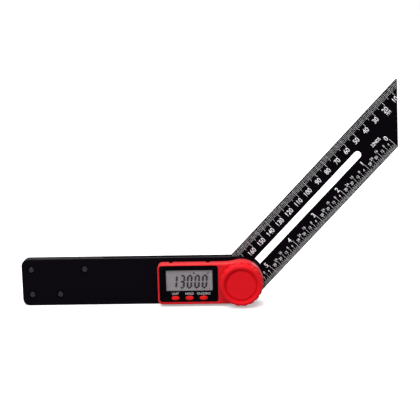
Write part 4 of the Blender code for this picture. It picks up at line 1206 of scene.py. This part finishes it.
def round_corners(corners, steps=5):
    """Replace each inner corner (radius, y, share, rounding) by a small arc-like curve."""
    points = [corners[0][:3]]
    for before, corner, after in zip(corners, corners[1:], corners[2:]):
        here = Vector(corner[:3])
        back, ahead = Vector(before[:3]) - here, Vector(after[:3]) - here
        reach = corner[3]
        start = here + back * min(0.5, reach / max(back.xy.length, reach / 10))
        end = here + ahead * min(0.5, reach / max(ahead.xy.length, reach / 10))
        for i in range(steps + 1):
            t = i / steps
            points.append(tuple(start * (1 - t) ** 2 + here * 2 * t * (1 - t) + end * t ** 2))
    points.append(corners[-1][:3])
    return points


def knob_ring(radius, share):
    """A ring of the knob, with a narrow notch between each two lobes."""
    steps = KNOB_LOBES * LOBE_POINTS
    points = []
    for i in range(steps):
        angle = math.tau * i / steps
        dip = ((1 + math.cos(KNOB_LOBES * (angle - FIRST_NOTCH))) / 2) ** NOTCH_SHARPNESS
        reach = radius - NOTCH_DEPTH * share * dip
        points.append((reach * math.cos(angle), reach * math.sin(angle)))
    return points


corners = [(KNOB_RADIUS - inset * MM, KNOB_FRONT + depth * MM, share, rounding * MM)
           for inset, depth, share, rounding in KNOB_CORNERS]
knob = loft("lobed_knob", [(y, knob_ring(radius, share))
                           for radius, y, share in round_corners(corners)])

# %% Hollow back of the knob
RIM_WALL = 3 * MM
HUB_RADIUS = 6.7 * MM
FRONT_SKIN = 1 * MM
NUT_CORNER = 5.2 * MM
ceiling = KNOB_FRONT + DISC_SINK * MM + FRONT_SKIN
groove_ceiling = KNOB_FRONT + GROOVE_SINK * MM + FRONT_SKIN
hub_back = side("knob_nut", 1, "y")
punch(knob, "knob_hollow", [circle((0, 0), KNOB_RADIUS - RIM_WALL)], groove_ceiling,
      KNOB_BACK + OVER)
punch(knob, "knob_inner_hollow", [circle((0, 0), KNOB_RADIUS - DISC_INSET * MM - FRONT_SKIN / 2)],
      ceiling, groove_ceiling + FRONT_SKIN)
punch(knob, "knob_hub", [circle((0, 0), HUB_RADIUS)], ceiling - FRONT_SKIN / 2, hub_back, "UNION")
punch(knob, "nut_pocket", [circle((0, 0), NUT_CORNER + FIT_GAP, 6)], ceiling, hub_back + OVER)
settle(knob, "knob", "knob_red", "clamp_knob")

# %% [markdown]
# ## Floor and light
#
# The picture has a pure white ground with only a narrow shadow right under the tool. The floor
# is white to the camera and throws less light back on the tool, as a greyer studio floor would,
# and far from the tool it adds light of its own to stay white. The world is a bright studio in
# reflections, brighter behind and above, and a softer light on the tool.

# %% White floor that keeps the shadow
FLOOR_HALF = 20.0
SHADOW_REACH = 0.35
FLOOR_FADE = 0.25
FLOOR_TO_CAMERA = (0.96, 0.96, 0.96)
FLOOR_TO_TOOL = (0.36, 0.36, 0.36)
FLOOR_GLOW = 0.36


def floor_material():
    """Floor that is white to the camera, greyer to the tool and lifted to white far away."""
    made, tree, shader = start_material("studio_floor")
    rays = add_node(tree, "ShaderNodeLightPath").outputs
    away = vector_sum(tree, "LENGTH", own_place(tree))
    far = soft_step(tree, away, SHADOW_REACH, SHADOW_REACH + FLOOR_FADE, FLOOR_GLOW)
    seen = sum_of(tree, "MAXIMUM", rays["Is Camera Ray"], rays["Is Glossy Ray"])
    seen = sum_of(tree, "MAXIMUM", seen, rays["Is Transmission Ray"])
    fill(tree, shader, {
        "Base Color": blend(tree, rays["Is Camera Ray"], FLOOR_TO_TOOL, FLOOR_TO_CAMERA),
        "Roughness": 0.9, "Specular IOR Level": 0.1, "Emission Color": (1, 1, 1, 1),
        "Emission Strength": sum_of(tree, "MULTIPLY", far, seen)})
    return made


builder = bmesh.new()
bmesh.ops.create_grid(builder, x_segments=1, y_segments=1, size=FLOOR_HALF)
floor_mesh = bpy.data.meshes.new("studio_floor")
builder.to_mesh(floor_mesh)
builder.free()
floor = bpy.data.objects.new("studio_floor", floor_mesh)
floor.location = (0, 0, cad_bounds[0][2])
bpy.context.scene.collection.objects.link(floor)
floor_mesh.materials.append(floor_material())
print("floor at z", round(floor.location.z, 6))

# %% World: white to look at, dim on the camera's side in reflections
WORLD_LIGHT = 0.40
FRONT_REFLECTION = 0.10

world = bpy.data.worlds.new("studio")
world.use_nodes = True
bpy.context.scene.world = world
tree = world.node_tree
tree.nodes.clear()
direction = add_node(tree, "ShaderNodeTexCoord").outputs["Generated"]
parts = add_node(tree, "ShaderNodeSeparateXYZ", {0: direction}).outputs
mirrored = add_node(tree, "ShaderNodeMapRange", {
    "Value": sum_of(tree, "ADD", parts["Y"], parts["Z"]), "From Min": -0.7, "From Max": 0.5,
    "To Min": FRONT_REFLECTION, "To Max": 1.0}, interpolation_type="SMOOTHSTEP")
rays = add_node(tree, "ShaderNodeLightPath").outputs
reflected = sum_of(tree, "MAXIMUM", rays["Is Glossy Ray"], rays["Is Transmission Ray"])
soft = add_node(tree, "ShaderNodeMix", {
    "Factor": reflected, 2: WORLD_LIGHT, 3: mirrored.outputs["Result"]})
strength = add_node(tree, "ShaderNodeMix", {
    "Factor": rays["Is Camera Ray"], 2: soft.outputs[0], 3: 1.0})
glow = add_node(tree, "ShaderNodeBackground", {"Color": (1, 1, 1, 1),
                                               "Strength": strength.outputs[0]})
add_node(tree, "ShaderNodeOutputWorld", {"Surface": glow.outputs["Background"]})
print("world light", WORLD_LIGHT)

# %% Two soft boxes
LAMPS = {"key_box": (Vector((-0.22, -0.58, 0.74)), 8.4), "top_box": (Vector((0.1, 0.15, 0.8)), 4.6)}
LAMP_SIZE = 0.8
LAMP_TARGET = Vector((0, 0, 0.03))

for name, (place, watts) in LAMPS.items():
    lamp = bpy.data.lights.new(name, "AREA")
    lamp.shape = "SQUARE"
    lamp.size = LAMP_SIZE
    lamp.energy = watts
    holder = bpy.data.objects.new(name, lamp)
    holder.location = place
    holder.rotation_euler = (LAMP_TARGET - place).to_track_quat("-Z", "Y").to_euler()
    bpy.context.scene.collection.objects.link(holder)
    print(name, watts, "W")
